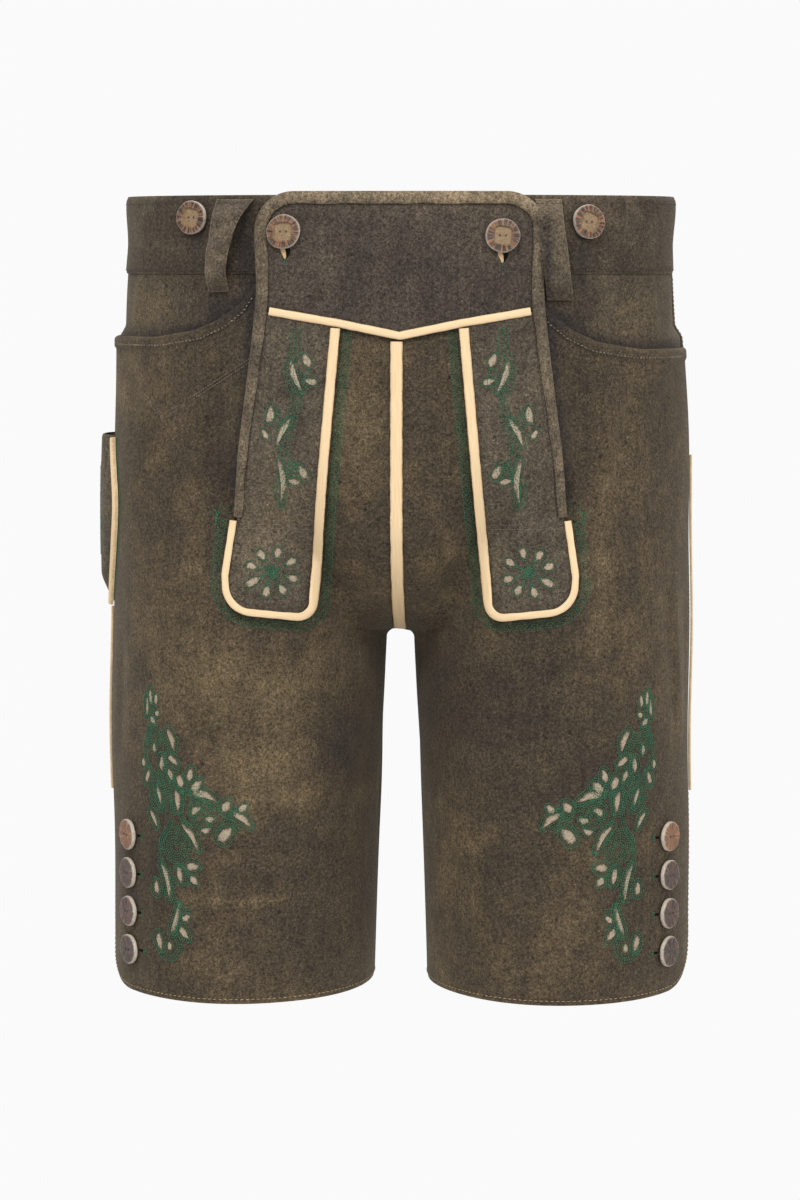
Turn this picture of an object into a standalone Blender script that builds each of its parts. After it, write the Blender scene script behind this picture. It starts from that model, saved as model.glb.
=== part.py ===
"""Short leather breeches (lederhosen), filled out as worn, with nobody inside.

Metres, +Z up, the wearer faces -Y. The origin is the middle of the waistband, where a waist holds
the garment. "right" and "left" are the wearer's: right is -X, left is +X.

Each half of the garment has one base surface. A place on it is (turn, height, lift): turn runs from
0 at the centre front or inside leg, through 1 at the side seam, to 2 at the centre back or inside
leg; lift is how far the layer stands out from the base. Every layer is a wall between two lifts.
"""

import functools
import math
from collections import namedtuple

import bmesh
import bpy
import numpy as np
from mathutils import Vector

# ---- Driving sizes
SEAM_GAP = 0.0004
BAND_TOP = 0.024
BAND_FOOT = -0.024
CROTCH = -0.2452
HEM = -0.4740
HEM_DIP = 0.004
HEM_CORNER_RUN = 0.052
HEM_CORNER_RISE = 0.0353
SLIT_TOP = -0.354
FRONT_ARCH = 0.075
BACK_ARCH = 0.100
CROTCH_FLOOR = 0.006
BRIDGE_REACH = 0.07
TORSO_SQUARENESS = 2.3
SEAM_SHAPE_REACH = 0.2
LEG_RISE = 0.12
BRIDGE_FADE = 0.03
EDGE_TURN = 0.001
FLAP_SHIFT = 0.0025
FLAP_SEWN = -0.173
SLIT_INSET = 0.009
SLIT_HALF_TURN = 0.0015
HIP_FOOT_FRONT = -0.140
HIP_FOOT_RISE = 0.035
UNDERLAP_AHEAD = 0.036
UNDERLAP_BEHIND = 0.012
UNDERLAP_BELOW_SLIT = 0.006
UNDERLAP_ABOVE_HEM = 0.003

# ---- Layers: how far each leather's two faces stand out from the base surface
Layer = namedtuple("Layer", "inner outer")
HIP = Layer(0.0, 0.0017)
WAISTBAND = Layer(0.0008, 0.0032)
UNDERLAP = Layer(-0.0006, 0.0011)
BACK_AT_WAIST = Layer(0.0012, 0.0030)
LEG = Layer(0.0021, 0.0039)
YOKE = Layer(0.0044, 0.0070)
BAND_SEWN = Layer(0.0057, 0.0073)
FLAP_LIFT = 0.0008
PIPING_HEIGHT = 0.0012
PIPING_CLEAR = 0.0003
BINDING_CLEAR = 0.0006
BAND_PIPING_CLEAR = 0.0020
LEG_CLEAR = 0.0006
FLAP_EASE = 0.1
BACK_EASE = 0.08

Torso = namedtuple("Torso", "height half_width front back")
TORSO = (
    Torso(0.040, 0.1705, 0.1075, 0.1135),
    Torso(0.024, 0.1713, 0.1080, 0.1140),
    Torso(-0.024, 0.1743, 0.1120, 0.1200),
    Torso(-0.090, 0.1766, 0.1175, 0.1330),
    Torso(-0.170, 0.1791, 0.1180, 0.1400),
    Torso(CROTCH, 0.1801, 0.1110, 0.1340),
    Torso(-0.500, 0.1801, 0.1110, 0.1340),
)
Leg = namedtuple("Leg", "height outer inner front back")
LEGS = (
    Leg(0.040, 0.1705, 0.0, 0.1060, 0.1220),
    Leg(-0.024, 0.1743, 0.0, 0.1065, 0.1240),
    Leg(-0.170, 0.1791, 0.0060, 0.1075, 0.1280),
    Leg(CROTCH, 0.1801, 0.0124, 0.1045, 0.1195),
    Leg(-0.360, 0.1801, 0.0169, 0.0945, 0.1040),
    Leg(-0.500, 0.1807, 0.0214, 0.0815, 0.0830),
)
FlapEdge = namedtuple("FlapEdge", "height half_width")
FLAP_EDGE = (
    FlapEdge(0.024, 0.0885),
    FlapEdge(0.000, 0.0888),
    FlapEdge(-0.037, 0.0877),
    FlapEdge(-0.063, 0.0902),
    FlapEdge(-0.100, 0.0947),
    FlapEdge(-0.136, 0.0992),
    FlapEdge(FLAP_SEWN, 0.1024),
    FlapEdge(-0.208, 0.1072),
    FlapEdge(-0.240, 0.1085),
)
FLAP_TOP = 0.0262
FLAP_CORNER = 0.024
BINDING_TOP_WIDTH = 0.0077
BINDING_FOOT_WIDTH = 0.0055
BINDING_WALL = 0.0012
BINDING_EASE = 0.15
YOKE_SIDE_FOOT = -0.046
YOKE_PIPING_WIDTH = 0.005
BAND_PIPING_INNER_WIDTH = 0.0058
BAND_PIPING_FOOT_WIDTH = 0.0042
CENTRE_STRIP_WIDTH = 0.0075
CENTRE_STRIP_ACROSS = 0.0006
SIDE_PIPING_WIDTH = 0.004
SIDE_PIPING_HEIGHT = 0.0014
SIDE_PIPING_LEFT_TOP = -0.1390
KNIFE_PIPING_WIDTH = 0.005
KNIFE_PIPING_HEIGHT = 0.0028
KNIFE_PIPING_AHEAD = 0.0035
YokeFoot = namedtuple("YokeFoot", "across height")
YOKE_FOOT = [YokeFoot(0.0, -0.0612), YokeFoot(0.038, -0.0535), YokeFoot(0.100, -0.0430)]
BAND_INNER_TOP = 0.0385
PATCH_OUTLINE = [(0.0545, -0.2345, 0.009), (0.1060, -0.2285, 0.017), (0.1072, -0.2078, 0.0)]
PocketEdge = namedtuple("PocketEdge", "across height")
POCKET_EDGE = [
    PocketEdge(0.080, -0.0240),
    PocketEdge(0.087, -0.0324),
    PocketEdge(0.0933, -0.0416),
    PocketEdge(0.1045, -0.0507),
    PocketEdge(0.1204, -0.0582),
    PocketEdge(0.1466, -0.0628),
    PocketEdge(0.1900, -0.0632),
]
POCKET_DROP = {-1: 0.0, 1: 0.0075}
SIDES = {"right": -1, "left": 1}


# ---- The base surface
@functools.lru_cache(maxsize=None)
def column(table, name, height):
    """One named column of a table, read at a height as a smooth curve through its rows."""
    rows = sorted(table, key=lambda row: row.height)
    heights = np.array([row.height for row in rows])
    values = np.array([getattr(row, name) for row in rows])
    slopes = np.gradient(values, heights)
    height = min(max(height, heights[0]), heights[-1])
    low = min(int(np.searchsorted(heights, height, side="right")) - 1, len(rows) - 2)
    span = heights[low + 1] - heights[low]
    u = (height - heights[low]) / span
    return (
        values[low] * (1 + 2 * u) * (1 - u) ** 2
        + values[low + 1] * u * u * (3 - 2 * u)
        + slopes[low] * span * u * (1 - u) ** 2
        - slopes[low + 1] * span * u * u * (1 - u)
    )


def smooth(u):
    u = min(1.0, max(0.0, u))
    return u * u * (3 - 2 * u)


def quarter_arc(u):
    """Rises from 0 to 1 as a quarter circle does."""
    u = min(1.0, max(0.0, u))
    return math.sqrt(1 - (1 - u) ** 2)


def base(side, turn, height, lift=0.0):
    """The point of one half's surface, standing `lift` out from it."""
    at_back = turn > 1
    part = 2 - turn if at_back else turn
    depth = "back" if at_back else "front"
    outer = column(LEGS, "outer", height) + lift
    gap = column(LEGS, "inner", height)
    gap -= lift * min(1.0, gap / column(LEGS, "inner", CROTCH))
    bridge = 1 - quarter_arc((CROTCH - height) / CROTCH_FLOOR)
    middle, reach = (outer + gap) / 2, (outer - gap) / 2
    leg_x = middle - reach * math.cos(math.pi * part)
    leg_x -= gap * bridge * math.exp(-((part / BRIDGE_REACH) ** 2))
    leg_y = (column(LEGS, depth, height) + lift) * math.sin(math.pi * part)
    power = 2 / TORSO_SQUARENESS
    torso_x = (column(TORSO, "half_width", height) + lift) * math.sin(math.pi / 2 * part) ** power
    torso_y = column(TORSO, depth, height) + lift
    torso_y *= max(0.0, math.cos(math.pi / 2 * part)) ** power
    arch = BACK_ARCH if at_back else FRONT_ARCH
    above = (height - CROTCH) / arch
    near_seam = math.exp(-((part / SEAM_SHAPE_REACH) ** 2))
    away = smooth((height - CROTCH) / LEG_RISE)
    share = near_seam * quarter_arc(above) + (1 - near_seam) * away
    x = (1 - share) * leg_x + share * torso_x
    y = (1 - share) * leg_y + share * torso_y
    fade = 1 - above if above >= 0 else 1 + (height - CROTCH) / BRIDGE_FADE
    drop = lift * near_seam * min(1.0, max(0.0, fade))
    return Vector((side * (x + SEAM_GAP / 2), y if at_back else -y, height - drop))


def turn_at(side, x, height, lift=0.0):
    """The front turn whose point lies `x` out from the middle."""
    low, high = 0.0, 1.0
    for _ in range(30):
        middle = (low + high) / 2
        if base(side, middle, height, lift).x * side < x:
            low = middle
        else:
            high = middle
    return low


def on_front(x, height, lift):
    """The point of the front at a signed distance across from the middle."""
    side = 1 if x >= 0 else -1
    point = base(side, turn_at(side, abs(x), height, lift), height, lift)
    return Vector((x, point.y, point.z))


def side_speed(side, height, lift):
    return (base(side, 1.0, height, lift) - base(side, 0.99, height, lift)).length / 0.01


def on_side(side, forward, height, lift):
    """The point at a distance round the body in front of (or, negative, behind) the side seam."""
    turn = 1 - forward / side_speed(side, height, lift)
    return base(side, turn, height, lift)


# ---- Meshes
def material(name, colour, roughness):
    made = bpy.data.materials.get(name)
    if made is None:
        made = bpy.data.materials.new(name)
        made.use_nodes = True
        shader = made.node_tree.nodes["Principled BSDF"]
        shader.inputs["Base Color"].default_value = (*colour, 1.0)
        shader.inputs["Roughness"].default_value = roughness
        shader.inputs["Metallic"].default_value = 0.0
    return made


def suede():
    return material("brown_suede", (0.090, 0.067, 0.045), 0.92)


def piping_leather():
    return material("cream_leather", (0.88, 0.72, 0.48), 0.75)


def antler():
    return material("antler", (0.36, 0.20, 0.10), 0.45)


def add_object(name, mesh_data, made_of):
    mesh = bpy.data.meshes.new(name)
    mesh_data.to_mesh(mesh)
    mesh_data.free()
    mesh.materials.append(made_of)
    mesh.shade_smooth()
    mesh.set_sharp_from_angle(angle=math.radians(40))
    thing = bpy.data.objects.new(name, mesh)
    bpy.context.collection.objects.link(thing)
    return thing


def wall(name, cells, faces, made_of):
    """A closed wall. `cells` are quads of keys; `faces` maps a key to its (inner, outer) points."""
    data = bmesh.new()
    inner = {key: data.verts.new(pair[0]) for key, pair in faces.items()}
    outer = {key: data.verts.new(pair[1]) for key, pair in faces.items()}
    used = {}
    for cell in cells:
        data.faces.new([outer[key] for key in cell])
        data.faces.new([inner[key] for key in reversed(cell)])
        for start, end in zip(cell, cell[1:] + cell[:1]):
            used.setdefault(frozenset((start, end)), []).append((start, end))
    for runs in used.values():
        if len(runs) == 1:
            start, end = runs[0]
            data.faces.new([outer[end], outer[start], inner[start], inner[end]])
    bmesh.ops.recalc_face_normals(data, faces=data.faces)
    return add_object(name, data, made_of)


def grid_wall(name, rows, columns, faces_at, made_of):
    """A wall over a plain grid; faces_at(row, column) gives the inner and outer points."""
    faces = {(r, c): faces_at(r, c) for r in range(rows + 1) for c in range(columns + 1)}
    cells = [
        [(r, c), (r, c + 1), (r + 1, c + 1), (r + 1, c)]
        for r in range(rows)
        for c in range(columns)
    ]
    return wall(name, cells, faces, made_of)


def resampled(points, count):
    """`count` + 1 points at equal steps along a line of points."""
    points = np.array(points, float)
    run = np.concatenate([[0], np.cumsum(np.linalg.norm(np.diff(points, axis=0), axis=1))])
    steps = np.linspace(0, run[-1], count + 1)
    return np.stack([np.interp(steps, run, points[:, k]) for k in range(points.shape[1])], axis=1)


def rounded(corners, steps=5):
    """A line through (x, z, radius) corners with each corner turned by an arc of that radius."""
    line = []
    for index, (x, z, radius) in enumerate(corners):
        here = np.array((x, z))
        if radius == 0:
            line.append(here)
            continue
        before = np.array(corners[index - 1][:2]) - here
        after = np.array(corners[index + 1][:2]) - here
        before /= np.linalg.norm(before)
        after /= np.linalg.norm(after)
        half = math.acos(float(np.clip(before @ after, -1, 1))) / 2
        start = here + before * radius / math.tan(half)
        end = here + after * radius / math.tan(half)
        centre = here + (before + after) / np.linalg.norm(before + after) * radius / math.sin(half)
        for step in range(steps + 1):
            turned = start * (1 - step / steps) + end * step / steps - centre
            line.append(centre + turned / np.linalg.norm(turned) * radius)
    return line


def between_edges(top, bottom, first, last, columns, rows):
    """The points of a panel bounded by four lines: its top and bottom, and its two sides."""
    top, bottom = resampled(top, columns), resampled(bottom, columns)
    first, last = resampled(first, rows), resampled(last, rows)
    u = np.linspace(0, 1, columns + 1)[None, :, None]
    v = np.linspace(0, 1, rows + 1)[:, None, None]
    corners = (
        (1 - u) * (1 - v) * top[0]
        + u * (1 - v) * top[-1]
        + (1 - u) * v * bottom[0]
        + u * v * bottom[-1]
    )
    return (1 - v) * top[None] + v * bottom[None] + (1 - u) * first[:, None] + u * last[:, None] - corners


def strip(name, path, place, section, made_of):
    """A strip along `path`, in flat (across, height) coordinates that place() lays on the surface.

    section(k) gives the strip's ring of (aside, lift) points at point k of the path.
    """
    path = np.array(path, float)
    ahead = np.gradient(path, axis=0)
    aside = np.stack([ahead[:, 1], -ahead[:, 0]], axis=1)
    aside /= np.linalg.norm(aside, axis=1)[:, None]
    data = bmesh.new()
    rings = []
    for k, point in enumerate(path):
        ring = []
        for offset, lift in section(k):
            across, height = point + aside[k] * offset
            ring.append(data.verts.new(place(across, height, lift)))
        rings.append(ring)
    for one, other in zip(rings, rings[1:]):
        for k in range(len(one)):
            following = (k + 1) % len(one)
            data.faces.new([one[k], one[following], other[following], other[k]])
    data.faces.new(rings[0][::-1])
    data.faces.new(rings[-1])
    bmesh.ops.recalc_face_normals(data, faces=data.faces)
    return add_object(name, data, made_of)


def flat_section(width, low, height):
    """A strip's ring: flat below, flat above, with a point on its middle line to let it bend."""
    half = width / 2
    return [
        (-half, low),
        (0.0, low),
        (half, low),
        (half, low + height),
        (0.0, low + height),
        (-half, low + height),
    ]


# ---- Sizes worked out from the tables
def hem_height(forward, dip):
    """The lower edge, `forward` metres round from the slit: it rises to the slit in a round corner."""
    rise = HEM_CORNER_RISE * (1 - quarter_arc(forward / HEM_CORNER_RUN))
    return HEM - dip + rise


def flap_half(height):
    return column(FLAP_EDGE, "half_width", height)


def flap_face(height):
    """Lift of the decorated face of the flap."""
    eased = smooth((height - FLAP_SEWN) / FLAP_EASE)
    return BAND_SEWN.outer + (YOKE.outer - BAND_SEWN.outer) * eased


def flap_raise(height):
    """How much further out the flap's part of the front lies than the leg it grows from."""
    return FLAP_LIFT * smooth((height - FLAP_SEWN) / FLAP_EASE)


def yoke_foot(across):
    return float(np.interp(abs(across), [p.across for p in YOKE_FOOT], [p.height for p in YOKE_FOOT]))


def pocket_edge(side, across):
    height = np.interp(across, [p.across for p in POCKET_EDGE], [p.height for p in POCKET_EDGE])
    return float(height) - POCKET_DROP[side]


def flap_across(side, across):
    """A distance from the flap's own middle, as a signed distance from the garment's."""
    return side * across + FLAP_SHIFT


# ---- Panels
def end_turns(turn):
    """Keeps a panel's edges half a seam gap short of the seam."""
    return min(max(turn, EDGE_TURN), 1 - EDGE_TURN)


def front_panel(word, side):
    """Leg, hip and the flap's centre in one piece, slit from the top down to the sewn end."""
    inner_columns, outer_columns, top_rows, arch_rows, leg_rows = 9, 11, 6, 6, 7
    columns = inner_columns + outer_columns
    levels = [
        CROTCH + FRONT_ARCH * (1 - math.sin(math.pi / 2 * k / arch_rows))
        for k in range(1, arch_rows + 1)
    ]
    levels += [CROTCH - 0.002, CROTCH - CROTCH_FLOOR]
    rows = top_rows + len(levels) + leg_rows

    def slit_turn(height):
        across = flap_half(max(height, FLAP_SEWN)) - SLIT_INSET + side * FLAP_SHIFT
        return turn_at(side, across, height)

    def turn_of(col, height):
        at_slit = slit_turn(height)
        if col <= inner_columns:
            return end_turns(at_slit * col / inner_columns)
        return end_turns(at_slit + (1 - at_slit) * (col - inner_columns) / outer_columns)

    def top_of(col, on_flap):
        start = base(side, turn_of(col, -0.05), -0.05).x * side
        if on_flap:
            return yoke_foot(start - side * FLAP_SHIFT) - SEAM_GAP
        return pocket_edge(side, start)

    def height_of(row, col, on_flap):
        if row < top_rows:
            share = row / top_rows
            return top_of(col, on_flap) * (1 - share) + FLAP_SEWN * share
        if row == top_rows:
            return FLAP_SEWN
        if row <= top_rows + len(levels):
            return levels[row - top_rows - 1]
        turn = turn_of(col, HEM)
        forward = (1 - turn) * side_speed(side, HEM, LEG.outer)
        foot = hem_height(forward, HEM_DIP * math.sin(math.pi * turn))
        share = (row - top_rows - len(levels)) / leg_rows
        return levels[-1] * (1 - share) + foot * share

    faces, cells = {}, []

    def key_of(row, col, on_flap):
        split = col == inner_columns and row < top_rows
        key = (row, col, on_flap) if split else (row, col)
        if key not in faces:
            height = height_of(row, col, on_flap)
            turn = turn_of(col, height)
            if split:
                turn += -SLIT_HALF_TURN if on_flap else SLIT_HALF_TURN
            extra = flap_raise(height) if on_flap else 0.0
            faces[key] = (
                base(side, turn, height, LEG.inner + extra),
                base(side, turn, height, LEG.outer + extra),
            )
        return key

    for row in range(rows):
        for col in range(columns):
            on_flap = col < inner_columns
            cells.append(
                [
                    key_of(row, col, on_flap),
                    key_of(row, col + 1, on_flap),
                    key_of(row + 1, col + 1, on_flap),
                    key_of(row + 1, col, on_flap),
                ]
            )
    wall(f"front_{word}", cells, faces, suede())


def back_panel(word, side):
    columns, top_rows, arch_rows, leg_rows = 12, 4, 6, 6
    start = BAND_FOOT - SEAM_GAP
    arch_top = CROTCH + BACK_ARCH
    levels = [start + (arch_top - start) * k / top_rows for k in range(top_rows + 1)]
    levels += [
        CROTCH + BACK_ARCH * (1 - math.sin(math.pi / 2 * k / arch_rows))
        for k in range(1, arch_rows + 1)
    ]
    levels += [CROTCH - 0.002, CROTCH - CROTCH_FLOOR]

    def faces_at(row, col):
        turn = 1 + end_turns(col / columns)
        if row < len(levels):
            height = levels[row]
        else:
            behind = (turn - 1) * side_speed(side, HEM, LEG.outer)
            share = (row - len(levels) + 1) / leg_rows
            height = levels[-1] * (1 - share) + hem_height(behind, 0.0) * share
        eased = smooth((start - height) / BACK_EASE)
        return tuple(
            base(side, turn, height, at_waist + (at_leg - at_waist) * eased)
            for at_waist, at_leg in zip(BACK_AT_WAIST, LEG)
        )

    grid_wall(f"back_{word}", len(levels) - 1 + leg_rows, columns, faces_at, suede())


def hip_piece(word, side):
    """Runs from the centre front, behind the flap, to the side seam, and backs the pocket."""
    columns, rows = 12, 4

    def faces_at(row, col):
        turn = end_turns(col / columns)
        foot = HIP_FOOT_FRONT + HIP_FOOT_RISE * turn
        height = (BAND_FOOT - SEAM_GAP) * (1 - row / rows) + foot * row / rows
        return tuple(base(side, turn, height, lift) for lift in HIP)

    grid_wall(f"hip_{word}", rows, columns, faces_at, suede())


def waistband(word, side):
    columns, rows = 28, 2

    def faces_at(row, col):
        turn = min(max(2 * col / columns, EDGE_TURN), 2 - EDGE_TURN)
        height = BAND_TOP + (BAND_FOOT - BAND_TOP) * row / rows
        return tuple(base(side, turn, height, lift) for lift in WAISTBAND)

    grid_wall(f"waistband_{word}", rows, columns, faces_at, suede())


def slit_underlap(word, side):
    """The strip behind the side slit that carries the hem buttons."""
    columns, rows = 4, 6

    def faces_at(row, col):
        forward = UNDERLAP_AHEAD - (UNDERLAP_AHEAD + UNDERLAP_BEHIND) * col / columns
        foot = hem_height(abs(forward), 0.0) + UNDERLAP_ABOVE_HEM
        height = SLIT_TOP + UNDERLAP_BELOW_SLIT
        height += (foot - height) * row / rows
        return tuple(on_side(side, forward, height, lift) for lift in UNDERLAP)

    grid_wall(f"slit_underlap_{word}", rows, columns, faces_at, suede())


# ---- The flap
def flap_yoke():
    columns, rows = 18, 5
    inset = BINDING_WALL + PIPING_CLEAR
    foot_side = flap_half(YOKE_SIDE_FOOT) - inset
    corner_foot = FLAP_TOP - inset - FLAP_CORNER
    top = rounded(
        [
            (-flap_half(0.0) + inset, corner_foot, 0.0),
            (-flap_half(0.0) + inset, FLAP_TOP - inset, FLAP_CORNER * 0.98),
            (flap_half(0.0) - inset, FLAP_TOP - inset, FLAP_CORNER * 0.98),
            (flap_half(0.0) - inset, corner_foot, 0.0),
        ]
    )
    foot_z = yoke_foot(foot_side) + SEAM_GAP
    across = np.linspace(-foot_side, foot_side, 41)
    bottom = [(x, yoke_foot(x) + SEAM_GAP) for x in across]
    heights = np.linspace(corner_foot, foot_z, 9)
    edge = [(flap_half(z) - inset, z) for z in heights]
    points = between_edges(top, bottom, [(-x, z) for x, z in edge], edge, columns, rows)

    def faces_at(row, col):
        x, z = points[row, col]
        return tuple(on_front(x + FLAP_SHIFT, z, lift) for lift in YOKE)

    grid_wall("flap_yoke", rows, columns, faces_at, suede())


def patch_line():
    """The band's inner edge, round end and outer edge up to the sewn end, from inside to outside."""
    start = (BAND_INNER_TOP, yoke_foot(BAND_INNER_TOP), 0.0)
    return rounded([start, *PATCH_OUTLINE, (flap_half(FLAP_SEWN), FLAP_SEWN, 0.0)])


def flap_band(word, side):
    columns, rows = 8, 18
    inset = BINDING_WALL + 3 * PIPING_CLEAR
    line = patch_line()
    arc = 6
    bottom = line[1 : 1 + 2 * arc]
    outer_foot = bottom[-1]
    top_x = flap_half(YOKE_SIDE_FOOT) - inset
    top_z = yoke_foot(top_x) - SEAM_GAP
    heights = np.linspace(top_z, outer_foot[1], 15)
    outer = [(min(flap_half(z) - inset, outer_foot[0]), z) for z in heights]
    outer[-1] = tuple(outer_foot)
    inner = [(line[0][0], line[0][1] - SEAM_GAP), line[1]]
    top = [(x, yoke_foot(x) - SEAM_GAP) for x in np.linspace(line[0][0], outer[0][0], 6)]
    points = between_edges(top, bottom, inner, outer, columns, rows)

    def faces_at(row, col):
        across, height = points[row, col]
        outside = flap_face(height)
        thickness = BAND_SEWN.outer - BAND_SEWN.inner
        x = flap_across(side, across)
        return on_front(x, height, outside - thickness), on_front(x, height, outside)

    grid_wall(f"flap_band_{word}", rows, columns, faces_at, suede())


def flap_binding():
    """A folded strip over the flap's free edge, from one sewn end up, over the top and down."""
    side_heights = np.linspace(FLAP_SEWN + 0.001, FLAP_TOP - FLAP_CORNER, 13)
    up = [(-flap_half(z), z) for z in side_heights]
    over = rounded(
        [
            (-flap_half(0.0), FLAP_TOP - FLAP_CORNER, 0.0),
            (-flap_half(0.0), FLAP_TOP, FLAP_CORNER),
            (flap_half(0.0), FLAP_TOP, FLAP_CORNER),
            (flap_half(0.0), FLAP_TOP - FLAP_CORNER, 0.0),
        ]
    )
    top_straight = [(x, FLAP_TOP) for x in np.linspace(-0.05, 0.05, 6)]
    path = up + over[2:7] + top_straight + over[7:12] + [(-x, z) for x, z in up[::-1]]

    def section(k):
        height = path[k][1]
        eased = smooth((height - FLAP_SEWN) / BINDING_EASE)
        width = BINDING_FOOT_WIDTH + (BINDING_TOP_WIDTH - BINDING_FOOT_WIDTH) * eased
        face = flap_face(height)
        low = face - (BAND_SEWN.outer - BAND_SEWN.inner)
        return [
            (width, face + BINDING_CLEAR),
            (width, face + BINDING_CLEAR + BINDING_WALL),
            (0.0, face + BINDING_CLEAR + BINDING_WALL),
            (0.0, low),
            (BINDING_WALL, low),
            (BINDING_WALL, face + BINDING_CLEAR),
        ]

    def place(across, height, lift):
        return on_front(across + FLAP_SHIFT, height, lift)

    strip("flap_binding", path, place, section, suede())


# ---- Pipings
def yoke_piping():
    reach = flap_half(YOKE_SIDE_FOOT) - BINDING_TOP_WIDTH - 0.0012
    path = [(x, yoke_foot(x)) for x in np.linspace(-reach, reach, 17)]
    low = YOKE.outer + PIPING_CLEAR

    def place(across, height, lift):
        return on_front(across + FLAP_SHIFT, height, lift)

    ring = flat_section(YOKE_PIPING_WIDTH, low, PIPING_HEIGHT)
    strip("yoke_piping", path, place, lambda k: ring, piping_leather())


def band_piping(word, side):
    line = patch_line()
    start = line[0] - np.array((-0.0004, 0.0032))
    straight = 14
    run = [start + (line[1] - start) * k / straight for k in range(straight)] + line[1:-1]
    end = line[-1] - np.array((0.0, 0.0014))
    run += [line[-2] + (end - line[-2]) * k / 3 for k in (1, 2, 3)]

    def section(k):
        share = min(1.0, max(0.0, (k - straight) / 8))
        width = BAND_PIPING_INNER_WIDTH + (BAND_PIPING_FOOT_WIDTH - BAND_PIPING_INNER_WIDTH) * share
        return flat_section(width, flap_face(run[k][1]) + BAND_PIPING_CLEAR, PIPING_HEIGHT)

    def place(across, height, lift):
        return on_front(flap_across(side, across), height, lift)

    strip(f"band_piping_{word}", run, place, section, piping_leather())


def centre_strip():
    """Covers the centre front seam from the yoke down to the crotch."""
    rows = 16
    start, end = YOKE_FOOT[0].height - 0.0035, CROTCH + 0.004
    shares = [math.sin(math.pi / 2 * k / rows) for k in range(rows + 1)]
    path = [(CENTRE_STRIP_ACROSS, start + (end - start) * share) for share in shares]

    def section(k):
        low = LEG.outer + flap_raise(path[k][1]) + LEG_CLEAR
        return flat_section(CENTRE_STRIP_WIDTH, low, PIPING_HEIGHT)

    strip("centre_strip", path, on_front, section, piping_leather())


def side_piping(word, side, start):
    rows = 12
    path = [(0.0, start + (SLIT_TOP - start) * k / rows) for k in range(rows + 1)]
    ring = flat_section(SIDE_PIPING_WIDTH, LEG.outer + LEG_CLEAR, SIDE_PIPING_HEIGHT)

    def place(forward, height, lift):
        return on_side(side, forward, height, lift)

    strip(f"side_piping_{word}", path, place, lambda k: ring, piping_leather())


# ---- Knife pocket on the right leg
KnifeEdge = namedtuple("KnifeEdge", "height front back")
KNIFE_POCKET = (
    KnifeEdge(-0.1255, 0.040, -0.020),
    KnifeEdge(-0.1650, 0.050, -0.022),
    KnifeEdge(-0.1950, 0.034, -0.020),
    KnifeEdge(-0.2330, 0.010, -0.017),
)
KNIFE_ROOM = 0.0060
KNIFE_WALL = 0.0016


def knife_pocket():
    """A pouch open at the top: its front and back edges and its foot lie on the leg."""
    side, columns, rows = SIDES["right"], 8, 8
    top, foot = KNIFE_POCKET[0].height, KNIFE_POCKET[-1].height
    rest = LEG.outer + LEG_CLEAR

    def faces_at(row, col):
        height = top + (foot - top) * row / rows
        front, back = column(KNIFE_POCKET, "front", height), column(KNIFE_POCKET, "back", height)
        across = 2 * col / columns - 1
        rise = (1 - across**4) * smooth((height - foot) / 0.02)
        forward = (front + back) / 2 + across * (front - back) / 2
        low = rest + KNIFE_ROOM * rise
        return on_side(side, forward, height, low), on_side(side, forward, height, low + KNIFE_WALL)

    grid_wall("knife_pocket", rows, columns, faces_at, suede())


def knife_pocket_piping():
    side, rows = SIDES["right"], 10
    top, foot = KNIFE_POCKET[0].height - 0.002, KNIFE_POCKET[-1].height
    path = []
    for row in range(rows + 1):
        height = top + (foot - top) * row / rows
        path.append((column(KNIFE_POCKET, "front", height) + KNIFE_PIPING_AHEAD, height))
    ring = flat_section(KNIFE_PIPING_WIDTH, LEG.outer + LEG_CLEAR, KNIFE_PIPING_HEIGHT)

    def place(forward, height, lift):
        return on_side(side, forward, height, lift)

    strip("knife_pocket_piping", path, place, lambda k: ring, piping_leather())


# ---- Belt loops
LOOP_STAND = 0.0076
LOOP_WALL = 0.0018
LOOP_REST = 0.0036


def belt_loop(name, place_at, top, foot, width):
    """A strip sewn down at both ends that stands clear of the waistband between them."""
    columns, rows = 2, 10

    def faces_at(row, col):
        share = row / rows
        stand = LOOP_STAND * smooth(min(share, 1 - share) / 0.2)
        across, height = (a + (b - a) * share for a, b in zip(top, foot))
        low = LOOP_REST + stand
        aside = width * (col / columns - 0.5)
        return place_at(across + aside, height, low), place_at(across + aside, height, low + LOOP_WALL)

    grid_wall(name, rows, columns, faces_at, suede())


def belt_loops():
    belt_loop("belt_loop_front_right", on_front, (-0.0995, 0.0215), (-0.1085, -0.0350), 0.0140)
    belt_loop("belt_loop_front_left", on_front, (0.0975, 0.0215), (0.1035, -0.0400), 0.0150)

    def on_back(across, height, lift):
        side = 1 if across >= 0 else -1
        low, high = 1.0, 2.0
        for _ in range(30):
            middle = (low + high) / 2
            if base(side, middle, height, lift).x * side > abs(across):
                low = middle
            else:
                high = middle
        point = base(side, low, height, lift)
        return Vector((across, point.y, point.z))

    for name, across in (("right", -0.095), ("centre", 0.0), ("left", 0.095)):
        belt_loop(f"belt_loop_back_{name}", on_back, (across, 0.0215), (across, -0.0340), 0.0150)


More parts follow.
